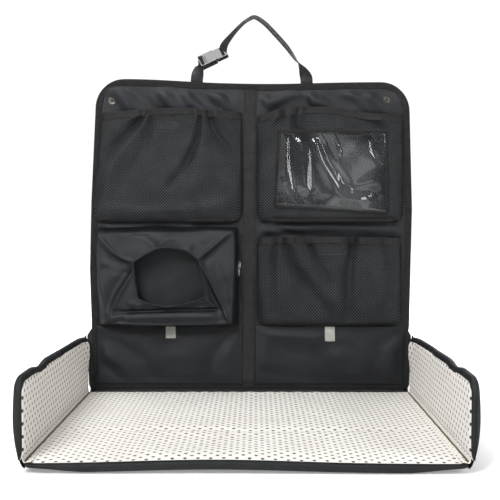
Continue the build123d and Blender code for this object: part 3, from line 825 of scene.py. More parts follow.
def front_relief(x, z):
    """How far the front cloth stands out from the flat panel."""
    relief = 1.4 * lumps(x, z, 80, 0) + 0.8 * lumps(x, z, 30, 1) + 3.1 * folds(x, z, FRONT_FOLDS)
    relief = np.where(relief < 0, 1.6 * np.tanh(relief / 1.6), relief)
    return relief * ramp(np.abs(x - 1), 11, 40)


def cloth_edge(x, z):
    """0 at the panel's bound edge, 1 well inside it."""
    return ramp(inside_box(x, z, (side_x(z, -1), side_x(z, 1)), (FOOT_Z, TOP_Z + top_rise(x))), 12, 32)


def make_panel():
    x, z = panel_grid(4)
    lift = cloth_edge(x, z)
    front = np.stack([x, FACE_Y - (0.4 + 1.3 * lift + front_relief(x, z) * lift), z], -1)
    relief = 1.6 * lumps(x, z, 120, 2) + 0.7 * lumps(x, z, 40, 3) + folds(x, z, BACK_FOLDS)
    back = np.stack([x, BACK_Y + 0.3 + (1.0 + relief) * lift, z], -1)
    covers = (("front", front, BLACK_CLOTH, "padding"), ("back", back, BLACK_SHELL, "board"))
    for label, p, finish, inside in covers:
        cloth = surface(f"organizer_{label}_cloth", p, finish, thick=0.7, flip=label == "front")
        settle(cloth, "organizer", "black_polyester", f"organizer_{label}_cover")

    path = outline_path(0)
    line = upright(path, MIDDLE_Y)
    run = np.arange(len(path)) * 4.0
    line[:, 1] += 0.25 * lumps(run, run * 0, 40, 4)
    inward = np.cross(tangents(line, True), (0, -1, 0))
    inward *= np.sign((inward * ((0, MIDDLE_Y, MIDDLE_Z) - line)).sum(1))[:, None]
    out = (0, 1, 0)
    tape("organizer_edge_binding", line, inward, BINDING_SECTION, "edge_binding", closed=True, out=out)
    path = outline_path(11.6)
    path = np.vstack([path, path[:1]])
    for label, y, way in (("front", 288.9, -1), ("back", 301.8, 1)):
        sew(f"binding_{label}_stitching", upright(path, y), (0, way, 0), "black_tape", pitch=3.8)

    z = np.linspace(34, 627, 150)
    centre = -1.0 + 4.5 * (z - 34) / 593 + 0.6 * lumps(z, z * 0, 90, 5)
    wave = 0.5 * lumps(z, z * 0, 26, 6) + 0.3 * np.sin(z / 9)
    line = np.column_stack([centre, 287.2 + wave, z])
    section = strap_section(25, 1.3, 5)
    tape("organizer_spine_tape", line, (1, 0, 0), section, "spine_tape", finish=SPINE, out=(0, -1, 0))
    for label, x in (("left", -9.5), ("right", 9.5)):
        sew(f"spine_{label}_stitching", line + (x, -0.8, 0), (0, -1, 0), "black_tape")
    end = [(289.6, 45), (287.2, 43), (286.4, 37), (286.6, 30), (287.6, 25.5), (289.6, 24)]
    end = spline([(-1.0, y, z) for y, z in end], 24)
    tape("spine_tape_folded_end", end, (1, 0, 0), strap_section(23.5, 1.2))


# ---- Net pockets ----

# Each net pocket: its edges, its mouth's (x, z), its depth at the foot, belly and mouth, how far its sides
# bulge, how far its lower corners are drawn up, its sag and lean, the hems along its foot, and its folds.
POCKETS = {
    "top_left": dict(
        left=-304, right=-13, foot=360, depth=(3, 27, 14), spill=(5, 2), corner=(20, 30), sag=4, lean=(-8, 7),
        mouth=[
            (-304, 577), (-268, 580), (-210, 585.5), (-150, 588), (-112, 588), (-81, 583.5), (-40, 580),
            (-13, 578.5),
        ],
        hems=[(0.64, 0.95)],
        folds=[
            (6, 9, -7, -4, -205, 584, -240, 545, -290, 500, -312, 420),
            (8, 16, 5, 4, -196, 582, -222, 540, -262, 490, -290, 400),
            (6, 9, 3, 3, -204, 580, -250, 560, -290, 540), (5, 10, -5, -2, -198, 584, -206, 530, -232, 470),
            (10, 22, 3, 2, -190, 582, -180, 520, -190, 430),
            (8, 18, 5, 3, -104, 584, -112, 540, -140, 480, -180, 420),
            (4, 8, -8, -3, -98, 584, -104, 530, -128, 470, -158, 430),
            (11, 22, 7, 3, -92, 583, -90, 520, -104, 440, -136, 390),
            (5, 10, -6, -3, -84, 582, -72, 545, -40, 505, -24, 470),
            (6, 10, 4, 3, -78, 582, -54, 560, -24, 540),
            (10, 12, 3, 3, -300, 392, -200, 380, -100, 388, -30, 400),
        ],
    ),
    "top_right": dict(
        left=16, right=309, foot=360, depth=(3, 25, 13), spill=(2, 3), corner=(24, 26), sag=4,
        mouth=[
            (16, 571), (40, 579), (66, 585.5), (116, 590), (161, 590), (194, 585.5), (246, 576), (309, 575),
        ],
        hems=[(0.1, 0.93)],
        folds=[
            (6, 9, 4, 3, 60, 578, 44, 556, 30, 520), (6, 8, -5, -3, 78, 582, 60, 560, 46, 540),
            (5, 6, -5, -4, 92, 584, 88, 566, 90, 545), (6, 7, 5, 4, 104, 584, 98, 564, 104, 546),
            (7, 12, -5, -3, 196, 582, 230, 566, 262, 550, 290, 500),
            (8, 12, 4, 4, 204, 582, 250, 572, 296, 540),
            (9, 12, 4, 4, 276, 540, 290, 470, 288, 400), (7, 8, 4, 4, 40, 370, 150, 366, 290, 372),
        ],
    ),
    "bottom_right": dict(
        left=16, right=306, foot=153, depth=(4, 25, 15), spill=(1, 2), corner=(22, 22), sag=5,
        mouth=[(16, 329), (60, 331), (120, 331.5), (190, 331), (250, 330), (306, 329)],
        hems=[],
        folds=[
            (6, 12, -7, -4, 66, 320, 92, 262, 155, 184), (8, 15, 4, 4, 86, 320, 118, 262, 178, 200),
            (5, 8, -6, -3, 119, 320, 136, 280, 159, 245), (6, 13, -8, -5, 207, 320, 200, 250, 199, 165),
            (8, 12, 3, 3, 184, 320, 178, 250, 172, 180), (12, 22, 4, 5, 230, 320, 242, 270, 248, 200),
            (7, 10, -5, -4, 272, 320, 288, 250, 280, 180), (6, 10, -6, -4, 56, 320, 44, 270, 46, 180),
        ],
    ),
}
ELASTIC_HIGH = 14.5
BAND_OVERLAP = 5


def net_height(pocket, x):
    line = np.array(pocket["mouth"])
    return np.interp(x, line[:, 0], line[:, 1])


def net_point(pocket, across, up, extra=0.0):
    """A point of the bellied net: across and up go from 0 to 1 over the flat net."""
    left, right, foot = pocket["left"], pocket["right"], pocket["foot"]
    x = left + (right - left) * across
    low, belly, mouth = pocket["depth"]
    side = np.abs(2 * across - 1)
    round_side = np.sqrt(np.clip(1 - (np.clip(side - 0.74, 0, 1) / 0.26) ** 2, 0, 1))
    depth = low + (belly - low) * quarter(up / 0.16) - (belly - mouth) * ramp(up, 0.25, 1.0)
    spill = np.where(across < 0.5, -pocket["spill"][0], pocket["spill"][1])
    bulge = np.sin(math.pi * np.clip((side - 0.72) / 0.28, 0, 1)) * bell(up, 0.3, 0.32)
    top = net_height(pocket, x) - ELASTIC_HIGH + BAND_OVERLAP
    pinch = np.where(across < 0.5, *pocket["corner"]) * np.clip((side - 0.9) / 0.1, 0, 1) ** 2
    sag = pocket["sag"] * np.sin(math.pi * np.clip(up / 0.25, 0, 1)) * (1 - side**4)
    z = foot + pinch * (1 - up) ** 2 * 0.6 + (top - foot) * up - sag
    depth = depth + 1.7 * folds(x, z, pocket["folds"]) * ramp(up, 0.0, 0.12) * round_side
    depth = depth + (1.6 * lumps(x, z, 42, 7) + 0.7 * lumps(x, z, 17, 8)) * ramp(up, 0, 0.15)
    depth = np.maximum(depth * round_side, 0.8) + extra
    if "flat" in pocket:
        flat = pocket["flat"](x, z)
        depth = depth * (1 - flat) + (22.0 + WINDOW_TILT * (540 - z) + extra) * flat
    lean = pocket.get("lean", (0, 0))
    lean = (lean[0] * (1 - up) + lean[1] * up) * (1 - across)
    return np.stack([x + spill * bulge + lean, FACE_Y - 1.6 - depth, z], -1)


WINDOW_TILT = 0.05
WINDOW = [(52, 392), (274, 378), (272, 538), (61, 541)]


def in_window(x, z, grow):
    """How far inside the window's outline a point is, less grow."""
    inside = np.full(np.shape(x), 1e9)
    for (ax, az), (bx, bz) in zip(WINDOW, WINDOW[1:] + WINDOW[:1]):
        size = math.hypot(bx - ax, bz - az)
        inside = np.minimum(inside, ((bx - ax) * (z - az) - (bz - az) * (x - ax)) / size)
    return inside + grow


POCKETS["top_right"]["flat"] = lambda x, z: ramp(in_window(x, z, 8), 0, 12)


def make_net(label, pocket):
    """The net as a mesh with holes, the area of the same net laid flat, and its flat size."""
    wide = pocket["right"] - pocket["left"]
    tall = np.mean([z for _, z in pocket["mouth"]]) - ELASTIC_HIGH + BAND_OVERLAP - pocket["foot"]
    nx, nz = int(wide / NET_STEP) // 2 * 2, int(tall / NET_STEP) // 2 * 2
    step_x, step_z = wide / nx, tall / nz
    points, index, faces = [], {}, []

    def vertex(a, b):
        key = (round(a * 100), round(b * 100))
        if key not in index:
            index[key] = len(points)
            points.append((a, b))
        return index[key]

    radii = (0.74, 0.53) * 4
    hole = [(r * math.cos(t), r * math.sin(t)) for r, t in zip(radii, np.arange(8) * math.pi / 4)]
    for i in range(1, nx):
        for j in range(1 + i % 2, nz, 2):
            place = pocket["left"] + step_x * i, pocket["foot"] + step_z * j
            if "flat" in pocket and in_window(*place, -3.0) > 0:
                continue
            outer = [vertex(i + 1, j), vertex(i, j + 1), vertex(i - 1, j), vertex(i, j - 1)]
            inner = [vertex(i + a, j + b) for a, b in hole]
            for k in range(4):
                m = 2 * k
                faces.append([outer[k], outer[(k + 1) % 4], inner[(m + 2) % 8], inner[m + 1], inner[m]])
    flat = np.array(points, float)
    p = net_point(pocket, flat[:, 0] / nx, flat[:, 1] / nz)
    piece = mesh_piece(f"{label}_netting", p, faces, NET, flat * NET_STEP)
    solidify(piece, NET_THICK, 0)
    settle(piece, "organizer", "black_net", f"{label}_net_pocket")

    # The area counts half of the net's whole surface, so a hole takes away its own area and brings half of
    # its wall.
    ring = [(a * step_x, b * step_z) for a, b in hole]
    sides = list(zip(ring, ring[1:] + ring[:1]))
    hole_area = abs(sum(a * d - b * c for (a, b), (c, d) in sides)) / 2
    wall = sum(math.dist(a, b) for a, b in sides) * NET_THICK
    cell = 2 * step_x * step_z - hole_area + wall / 2
    return piece, len(faces) / 4 * cell * MM * MM, (wide * MM, tall * MM)


def make_pocket(label, pocket):
    net, area, flat = make_net(label, pocket)
    line = net_point(pocket, np.linspace(0, 1, 90), np.ones(90), 0.7)
    line[:, 2] = net_height(pocket, line[:, 0]) - ELASTIC_HIGH / 2
    line[0, 1] = line[-1, 1] = FACE_Y - 2.4
    for _ in range(2):
        line[1:-1, 1] = (line[:-2, 1] + line[1:-1, 1] * 2 + line[2:, 1]) / 4
    section = strap_section(ELASTIC_HIGH, 2.0, 5)
    band = tape(
        f"{label}_elastic_band", line, (0, 0, 1), section, f"{label}_elastic",
        slot="black_elastic", finish=ELASTIC,
    )
    for place, height in (("low", 2.6 - ELASTIC_HIGH / 2), ("high", ELASTIC_HIGH / 2 - 2.6)):
        sew(f"{label}_band_stitching_{place}", line + (0, -1.25, height), (0, -1, 0), "black_elastic")
    across = np.concatenate([np.full(24, 0.002), np.linspace(0.03, 0.97, 40), np.full(24, 0.998)])
    up = np.concatenate([np.linspace(1, 0, 24), np.zeros(40), np.linspace(0, 1, 24)])
    edge = net_point(pocket, across, up)
    edge[:, 1] = np.minimum(edge[:, 1], FACE_Y - 2.2)
    seam = tape(f"{label}_seam_tape", even(edge, 200), (0, -1, 0), ring_section(1.3))
    for k, ends in enumerate(pocket["hems"]):
        hem = net_point(pocket, np.linspace(*ends, 30), np.full(30, 0.035), 0.9)
        tape(f"{label}_foot_hem_{k}", hem, (0, 0, 1), strap_section(9, 0.9, 3))


def patch(name, x_range, z_range, node):
    """A stitched hook-and-loop patch with a pile that stands up a little."""
    y = FACE_Y - 0.7
    x, z = grid(stations(*x_range, 3.0, (0, 0.6, 1.6)), stations(*z_range, 3.0, (0, 0.6, 1.6)))
    pile = 1.8 * ramp(inside_box(x, z, x_range, z_range), -0.6, 1.8)
    pile = pile + 0.25 * np.sin(z * 2.1) + 0.3 * lumps(x, z, 9, 9)
    cloth = surface(name, np.stack([x, y - pile, z], -1), HOOKS, thick=1.2, flip=True)
    settle(cloth, "organizer", "hook_loop", node)
    (a, b), (low, high) = np.array([x_range, z_range]) + (2.5, -2.5)
    ring = upright([(a, low), (b, low), (b, high), (a, high), (a, low)], y - 2.2)
    sew(f"{name}_stitching", even(ring, 60), (0, -1, 0), "hook_loop")


# Creases of the window's clear sheet.
CREASES = (
    (6, 7, 2.4, 2.0, 74, 530, 72, 500, 68, 452), (5, 9, -3.0, -3.4, 80, 536, 84, 480, 92, 430, 112, 392),
    (13, 11, 4.2, 3.4, 104, 538, 106, 480, 112, 430), (5, 7, -3.2, -2.4, 124, 536, 128, 480, 126, 430),
    (7, 17, 4.6, 5.4, 122, 540, 142, 480, 176, 420, 214, 398),
    (5, 10, -3.6, -4.4, 136, 540, 160, 480, 200, 424),
    (16, 24, 4.0, 4.6, 272, 452, 246, 438, 214, 410, 176, 390),
    (8, 11, 4.4, 3.0, 250, 540, 262, 510, 274, 484), (3.5, 5, -2.6, -2.0, 240, 536, 246, 500, 262, 476),
    (2.4, 3.0, 1.6, 1.4, 170, 534, 180, 500, 172, 466, 180, 446),
    (9, 9, -4.4, -4.4, 218, 420, 236, 423, 250, 420),
)


def make_window():
    """The crumpled clear sheet sewn into the upper right net, and its tape frame."""
    s, t = (a[..., None] for a in grid(np.linspace(0, 1, 110), np.linspace(0, 1, 84)))
    c0, c1, c2, c3 = np.array(WINDOW, float)
    x, z = np.moveaxis((c0 * (1 - s) + c1 * s) * (1 - t) + (c3 * (1 - s) + c2 * s) * t, -1, 0)
    pocket = POCKETS["top_right"]
    low, high = pocket["foot"], net_height(pocket, x) - ELASTIC_HIGH + BAND_OVERLAP
    across = (x - pocket["left"]) / (pocket["right"] - pocket["left"])
    base = net_point(pocket, across, (z - low) / (high - low))
    s, t = s[..., 0], t[..., 0]
    hold = ramp(np.minimum(np.minimum(s, 1 - s) * 210, np.minimum(t, 1 - t) * 155), 0, 26)
    relief = (1.2 * lumps(x, z, 52, 10) + folds(x, z, CREASES)) * hold
    p = np.stack([base[..., 0], base[..., 1] - 0.6 - relief, z], -1)
    sheet = surface("window_clear_vinyl", p, VINYL, flip=True)
    settle(sheet, "organizer", "clear_vinyl", "window_sheet")

    line = even_ring(np.vstack([p[:-1, 0], p[-1, :-1], p[:0:-1, -1], p[0, :0:-1]]), 239)
    line[:, 1] -= 0.9
    inward = np.cross(tangents(line, True), (0, 1, 0))
    inward *= np.sign((inward * (line.mean(0) - line) * (1, 0, 1)).sum(1))[:, None]
    section = [(-3.4, -0.4), (-3.2, 0.5), (0, 0.8), (3.0, 0.5), (3.3, -0.4), (0, -0.6)]
    rim = tape("window_frame_tape", line, inward, section, "window_frame", closed=True, out=(0, -1, 0))
    sew("window_stitching", line + inward * 1.5 + (0, -0.9, 0), (0, -1, 0), "black_tape")


# ---- Wipes pocket and zipper ----

# Matching corners of the hole and of the box front, clockwise from the upper left: (x, z, depth).
HOLE = [
    (-229, 281, 38), (-207, 296, 41), (-181, 309, 43), (-160, 311, 43), (-124, 304, 41), (-100, 287, 39),
    (-93, 250, 40), (-86, 212, 40), (-108, 203, 43), (-133, 197, 45), (-163, 193, 46), (-198, 199, 44),
    (-220, 208, 40), (-226, 245, 38),
]
BOX = [
    (-302, 331, 24), (-262, 336, 25), (-205, 338, 25), (-160, 338, 24), (-95, 339, 24), (-32, 341, 24),
    (-30, 262, 36), (-36, 162, 39), (-80, 158, 42), (-120, 157, 43), (-160, 156, 43), (-220, 157, 42),
    (-276, 160, 38), (-299, 250, 33),
]
BASE = [
    (-306, 349, 0), (-262, 352, 0), (-205, 353, 0), (-160, 353, 0), (-95, 352, 0), (-21, 352, 0),
    (-20, 262, 0), (-21, 150, 0), (-80, 150, 0), (-120, 152, 0), (-160, 153.5, 0), (-220, 151, 0),
    (-305, 150, 0), (-307, 250, 0),
]


def loop(corners, rounds):
    """A smoothed closed line with 16 points between each pair of corners, so that loops match."""
    steps, line = 16, []
    for a, b in zip(corners, corners[1:] + corners[:1]):
        line += [np.array(a) + (np.array(b) - a) * i / steps for i in range(steps)]
    return smooth_loop(np.array(line), rounds)


def smooth_loop(line, rounds):
    for _ in range(rounds):
        line = (np.roll(line, 1, 0) + 2 * line + np.roll(line, -1, 0)) / 4
    return line


WIPES_FOLDS = (
    (3.5, 6, 7.0, 5.0, -229, 281, -250, 288, -278, 308, -300, 332),
    (8, 12, -5.0, -3.0, -234, 276, -256, 278, -282, 290, -300, 312),
    (3.5, 6, 6.5, 5.0, -224, 270, -240, 246, -262, 210, -280, 164),
    (9, 12, -4.0, -4.0, -236, 268, -262, 236, -284, 186),
    (6, 7, -2.6, -1.6, -290, 268, -262, 261, -238, 262),
    (8, 9, -3.5, -2.0, -212, 230, -226, 200, -252, 170),
    (3.5, 5, 6.5, 5.0, -100, 287, -76, 308, -50, 330, -36, 340),
    (8, 10, -4.6, -3.4, -92, 282, -70, 296, -48, 316, -36, 330),
    (3, 4.5, 8.0, 6.5, -97, 280, -76, 240, -56, 200, -38, 162),
    (8, 9, -6.5, -4.5, -90, 256, -78, 226, -66, 200, -52, 176),
    (9, 9, -2.4, -3.0, -66, 280, -50, 240, -44, 200), (4, 6, 4.0, 3.0, -220, 208, -240, 186, -272, 166),
    (4, 5, 4.0, 3.4, -86, 211, -66, 190, -44, 172),
    (3.5, 3.5, -6.5, -6.5, -268, 181, -200, 184, -140, 186, -64, 187),
    (7, 7, 4.0, 4.0, -262, 171, -180, 172, -54, 174), (5, 5, -3.0, -3.0, -212, 192, -150, 190, -92, 196),
    (5, 6, 2.6, 1.6, -236, 198, -216, 196, -190, 188), (7, 8, 3.4, 2.0, -188, 314, -206, 328, -250, 334),
    (6, 8, -3.0, -2.0, -178, 312, -168, 324, -150, 330), (8, 10, 3.0, 2.4, -120, 306, -112, 322, -90, 332),
)
WIPES_MIDDLE = np.array([-162, 250, 0])


def wipes_relief(x, z):
    """How far the folded front of the wipes pocket stands out from its smooth shape."""
    return 1.6 * lumps(x, z, 44, 2) + 0.6 * lumps(x, z, 16, 3) + folds(x, z, WIPES_FOLDS)


def make_wipes_pocket():
    """Rings of (x, z, depth) from inside the hole, over the front, and down the walls to the base."""
    hole, box, base = loop(HOLE, 7), loop(BOX, 3), loop(BASE, 3)
    rows = [hole - (0, 0, 6) + (hole - hole.mean(0)) * (0.02, 0.02, 0)]
    for t in np.linspace(0, 1, 34):
        row = hole + (box - hole) * t
        hold = min(1.0, 4 * t + 0.15) * min(1.0, 6 * (1 - t) + 0.35)
        row[:, 2] += wipes_relief(row[:, 0], row[:, 1]) * hold - 2.4 * math.sin(math.pi * t)
        rows.append(row)
    edge = rows[-1]
    for t in (0.06, 0.14, 0.24, 0.36, 0.5, 0.64, 0.78, 0.9, 1.0):
        row = edge + (base - edge) * t**1.15
        bulge = (2.2 * lumps(row[:, 0] + 5, row[:, 1], 38, 4) + 1.6) * math.sin(math.pi * t)
        away = (row - WIPES_MIDDLE) * (1, 1, 0)
        away /= np.linalg.norm(away, axis=1)[:, None]
        tab_room = 1 - 0.9 * bell(row[:, 0], -158, 26) * (row[:, 1] < 200)
        row = row + away * (bulge * tab_room)[:, None]
        row[:, 2] = edge[:, 2] * (1 - t**1.7)
        rows.append(row)
    rings = np.array(rows)
    p = np.stack([rings[..., 0], FACE_Y - 1.6 - rings[..., 2], rings[..., 1]], -1)
    body = surface("wipes_pocket_body", p, BLACK_CLOTH, uv=rings[..., :2], close_v=True, flip=True, thick=1.0)
    settle(body, "organizer", "black_polyester", "wipes_pocket")

    ring = even_ring(smooth_loop(hole, 2), 219)
    y = FACE_Y - 2.0 - ring[:, 2] - 0.5 * np.sin(np.arange(len(ring)) * 0.19)
    cord, look = ring_section(1.5), dict(slot="black_polyester", finish=BLACK_CLOTH)
    rim = upright(ring, y)
    hem = tape("wipes_hole_rolled_hem", rim, (0, -1, 0), cord, "wipes_hole_hem", closed=True, **look)
    row = rings[2] * 0.4 + rings[3] * 0.6
    row = upright(row, FACE_Y - 1.9 - row[:, 2])
    sew("wipes_hole_stitching", np.vstack([row, row[:1]]), (0, -1, 0))
    seam = even_ring(upright(base, FACE_Y - 2.4), 239)
    foot = tape("wipes_pocket_base_tape", seam, (0, -1, 0), ring_section(1.8), closed=True)


def make_zipper():
    x, low, high, pitch = -20.3, 200, 336, 1.5
    z = np.linspace(low, high, 60)
    line = np.column_stack([np.full(60, x), 287.7 + 0.15 * np.sin(z / 7), z])
    tape("zipper_woven_tape", line, (1, 0, 0), strap_section(13, 0.9), "zipper_tape", out=(0, -1, 0))
    count = int((high - low) / pitch)
    teeth = [
        (side, low + 0.7 + pitch * k + (0.75 if side > 0 else 0)) for k in range(count) for side in (-1, 1)
    ]
    points = [
        (x + side * s, 285.8 + r * math.cos(a) * 1.3, z + r * math.sin(a))
        for side, z in teeth
        for s, r in ((0.15, 0.30), (0.9, 0.52), (1.25, 0.36))
        for a in np.arange(6) * math.pi / 3
    ]
    coil = mesh_piece("zipper_coil_teeth", points, tube_faces(3, 6, len(teeth)), COIL)
    settle(coil, "organizer", "zip_metal", "zipper_coil")
    for name in ("zip_slider", "zip_pull"):
        finish_node(name, ZIP, 0.35)


def finish_node(name, finish, bevel=0):
    """Gives a CAD node its finish and softens its edges."""
    piece = nodes[name]
    piece.data.materials.clear()
    piece.data.materials.append(finish)
    if bevel:
        soft = piece.modifiers.new("softened", "BEVEL")
        soft.width, soft.segments, soft.limit_method = bevel * MM, 2, "ANGLE"
        soft.angle_limit = math.radians(40)


# ---- Lower panels, tabs, snaps and patches ----

PANEL_FOLDS = {
    "left": (
        (9, 14, -3.4, -2.4, -24, 148, -50, 120, -76, 84, -84, 44),
        (12, 18, 3.0, 2.4, -24, 120, -42, 90, -46, 50),
        (12, 18, -2.6, -2.0, -300, 128, -258, 112, -214, 84, -190, 50),
        (10, 12, -2.4, -1.6, -300, 70, -276, 60, -262, 40),
        (26, 36, 2.8, 2.6, -170, 140, -120, 100, -96, 60), (10, 14, 2.0, 1.6, -290, 92, -250, 66, -236, 42),
        (4, 4, 1.2, 1.2, -300, 146, -200, 143, -100, 146),
    ),
    "right": (
        (12, 14, 2.4, 2.0, 28, 146, 64, 130, 130, 126, 190, 128),
        (14, 16, -1.8, -1.4, 60, 110, 90, 98, 140, 96),
        (26, 36, 2.6, 2.6, 150, 110, 200, 80, 220, 44), (12, 18, -2.6, -1.8, 304, 140, 262, 110, 252, 60),
        (12, 14, 2.2, 1.8, 276, 140, 290, 96, 286, 50), (10, 14, -2.0, -1.2, 20, 60, 70, 52, 120, 42),
        (4, 4, 1.2, 1.2, 30, 146, 150, 143, 300, 146),
    ),
}

LEFT_TAB_X, RIGHT_TAB_X = -158, 163


def make_lower_panel(label, x_range, tab_x, seed):
    low, high = 33, 150.5
    x, z = grid(stations(*x_range, 5), stations(low, high, 4))
    edge = inside_box(x, z, x_range, (low, high))
    relief = 2.6 * np.sin(math.pi * np.clip((z - low) / 117, 0, 1)) + folds(x, z, PANEL_FOLDS[label])
    relief += 1.2 * lumps(x, z, 60, seed) + 0.4 * lumps(x, z, 22, 7)
    hollow = 1 - 0.92 * bell(x, tab_x, 22) * ramp(z, 84, 118)
    y = FACE_Y - 2.0 - 1.0 * ramp(edge, -1, 3) - relief * ramp(edge, 2, 22) * hollow
    p = np.stack([x, np.minimum(y, FACE_Y - 2.2), z], -1)
    cloth = surface(f"lower_{label}_cloth", p, BLACK_CLOTH, flip=True, thick=0.9)
    settle(cloth, "organizer", "black_polyester", f"lower_{label}_panel")
    sew(f"lower_{label}_stitching", p[2:-2, -4] + (0, -0.5, 0), (0, -1, 0))


def make_tab(label, x, drop):
    """A folded ribbon loop: both layers hang together from the seam."""
    top, front, back = 149.6, 286.0, 287.3
    low, low_x = top - drop, x + 0.3
    line = [
        (x, front, top), (x, front - 0.5, top - drop * 0.35), (low_x, front - 0.7, low + 4),
        (low_x, front - 0.5, low + 1.2), (low_x, (front + back) / 2 - 0.3, low + 0.4),
        (low_x, back - 0.2, low + 1.4), (x, back, low + 5), (x, back, top),
    ]
    body = f"{label}_tab"
    section = strap_section(20, 0.8, 4)
    ribbon = sweep(f"{label}_ribbon_loop", spline(line, 70), (1, 0, 0), section, GREY_RIBBON)
    settle(ribbon, body, "grey_ribbon", f"{label}_ribbon_tab")
    small = dict(finish=PALE_THREAD, pitch=2.6, length_each=1.7, radius=0.22)
    for end, dx in (("a", -8.2), ("b", 8.2)):
        row = [(x + dx, front - 0.95, z) for z in np.linspace(top - 1.5, low + 2.5, 14)]
        sew(f"{label}_ribbon_stitching_{end}", row, (0, -1, 0), "grey_ribbon", body, **small)


# (radius, y) of the press snaps' turned parts.
SOCKET = [
    (2.6, 290.2), (2.6, 287.6), (3.2, 286.6), (4.1, 286.5), (4.5, 287.4), (5.2, 288.2), (6.0, 287.5),
    (6.9, 286.9), (7.6, 287.4), (7.9, 288.6), (7.5, 289.8), (6.9, 290.3),
]
CAP = [
    (0.02, 302.3), (2.0, 302.5), (4.4, 302.3), (6.2, 301.9), (7.3, 301.2), (7.7, 300.6), (7.2, 300.2),
    (0.02, 300.2),
]
WELL = [(0.02, 289.4), (1.2, 289.3), (2.2, 289.5), (2.5, 290.2), (0.02, 290.3)]


def make_snaps():
    for label, x in (("left", -274), ("right", 274)):
        for part, profile, finish, node in (
            ("socket", SOCKET, SNAP, "snap_sockets"), ("cap", CAP, SNAP, "snap_caps"),
            ("well", WELL, COIL, None)
        ):
            piece = lathe(f"{label}_snap_{part}", profile, (x, 604), finish, flip=part != "cap")
            settle(piece, "organizer", "snap_metal", *([node] if node and label == "left" else []))


def make_anchors():
    """Box-stitched patches that hold the hanger at the back."""
    for label, x, nodes_replaced in (("left", -105, ["strap_anchors"]), ("right", 116, [])):
        z = np.linspace(586, 630, 30)
        line = np.column_stack([np.full(30, float(x)), 302.0 + 0.2 * np.sin(z / 4), z])
        look = dict(slot="black_webbing", finish=WEBBING, out=(0, 1, 0))
        tape(f"{label}_strap_anchor", line, (1, 0, 0), strap_section(25, 1.8, 6), *nodes_replaced, **look)
        a, b, low, high = x - 9.5, x + 9.5, 590, 612
        box = [(a, low), (b, low), (b, high), (a, high), (a, low), (b, high), (a, high), (b, low)]
        path, small = even(upright(box, 303.0), 70), dict(pitch=2.6, length_each=1.9)
        sew(f"{label}_anchor_box_stitch", path, (0, 1, 0), "black_webbing", **small)


# ---- Hanger ----

HANGER_Y = 295.3
BUCKLE = np.array([-71.0, HANGER_Y, 691.0])
TILT, ROLL = math.radians(25), math.radians(40)
U_AXIS = np.array([math.cos(TILT), 0, math.sin(TILT)])
N_AXIS = np.array([-math.sin(ROLL) * math.sin(TILT), -math.cos(ROLL), math.sin(ROLL) * math.cos(TILT)])
V_AXIS = np.cross(N_AXIS, U_AXIS)


def on_buckle(u, v, w):
    return BUCKLE + u * U_AXIS + v * V_AXIS + w * N_AXIS


# The long webbing's path: x, z, and its turn in degrees, where 0 is flat to the front.
LONG_RUN = [
    (-56, 692, 42), (-54, 698, 42), (-49, 716, 50), (-32, 738, 63), (-13, 757.5, 67), (1, 767, 65),
    (12.5, 770.5, 62), (31, 759, 62), (50, 740, 62), (75, 712, 63), (93, 687, 74), (101, 677, 90),
    (110, 661, 135), (115, 650, 168), (116, 640, 180), (116, 628, 180),
]


def bend_at_foot(piece, *replaced):
    """A piece of the hanger: hides the CAD parts it replaces and bakes its placement into its mesh."""
    if replaced:
        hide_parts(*replaced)
    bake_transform(piece)


def make_hanger():
    back = np.interp(np.arange(len(LONG_RUN)), [0, 10, 12, 15], [0, 0, 1.4, 4.6])
    path = spline([(x, HANGER_Y + b, z, turn) for (x, z, turn), b in zip(LONG_RUN, back)], 190)
    path, turn = path[:, :3], np.radians(path[:, 3:])
    t = tangents(path)
    flat = t[:, ::-1] * (-1, 0, 1)
    flat /= np.linalg.norm(flat, axis=1)[:, None]
    across = flat * np.cos(turn) + np.array([0, 1, 0]) * np.sin(turn)
    section = strap_section(24.5, 2.0)
    bend_at_foot(sweep("hanger_long_webbing", path, across, section, WEBBING), "long_webbing")
    normal = np.cross(t, across)
    for side, edge in (("a", -9.6), ("b", 9.6)):
        for face, way in (("f", -1), ("r", 1)):
            name, row = f"long_webbing_edge_thread_{side}{face}", path + across * edge + normal * way
            bend_at_foot(stitches(name, row, normal * way, THREAD, pitch=4.2, radius=0.16, lift=0.0))

    bar = on_buckle(-25.5, 0, 0)
    line = [(-105, 299.6, 628), (-105, 298.0, 640), (-104, 295.6, 652), (-101, 293.5, 664)]
    line += [bar + (-3.2, -2.0, -7), bar + (-3.4, -2.6, 1.5)]
    line += [on_buckle(-27.5, 0, 4.4), on_buckle(-22.0, 0, 6.6)]
    path = spline(line, 90)
    share = ramp(path[:, 2], 650, 676)[:, None]
    across = np.array([1.0, 0, 0]) * (1 - share) - V_AXIS * share
    bend_at_foot(sweep("hanger_short_webbing", path, across, section, WEBBING), "short_webbing")

    for name, bevel in (("buckle_socket", 1.4), ("buckle_plug", 1.2)):
        finish_node(name, PLASTIC, bevel)
    for side in ("upper", "lower"):
        finish_node(f"{side}_release_prong", PLASTIC, 0.7)
    for k, u in enumerate((-22, -19, -16)):
        line = spline([on_buckle(u, v, 5.5) for v in (-10, -5, 0, 5, 10)], 20)
        ridge = sweep(f"buckle_grip_ridge_{k}", line, N_AXIS, ring_section(0.7), PLASTIC)
        settle(ridge, "hanger", "buckle_plastic")


# ---- Rear fold and gussets ----

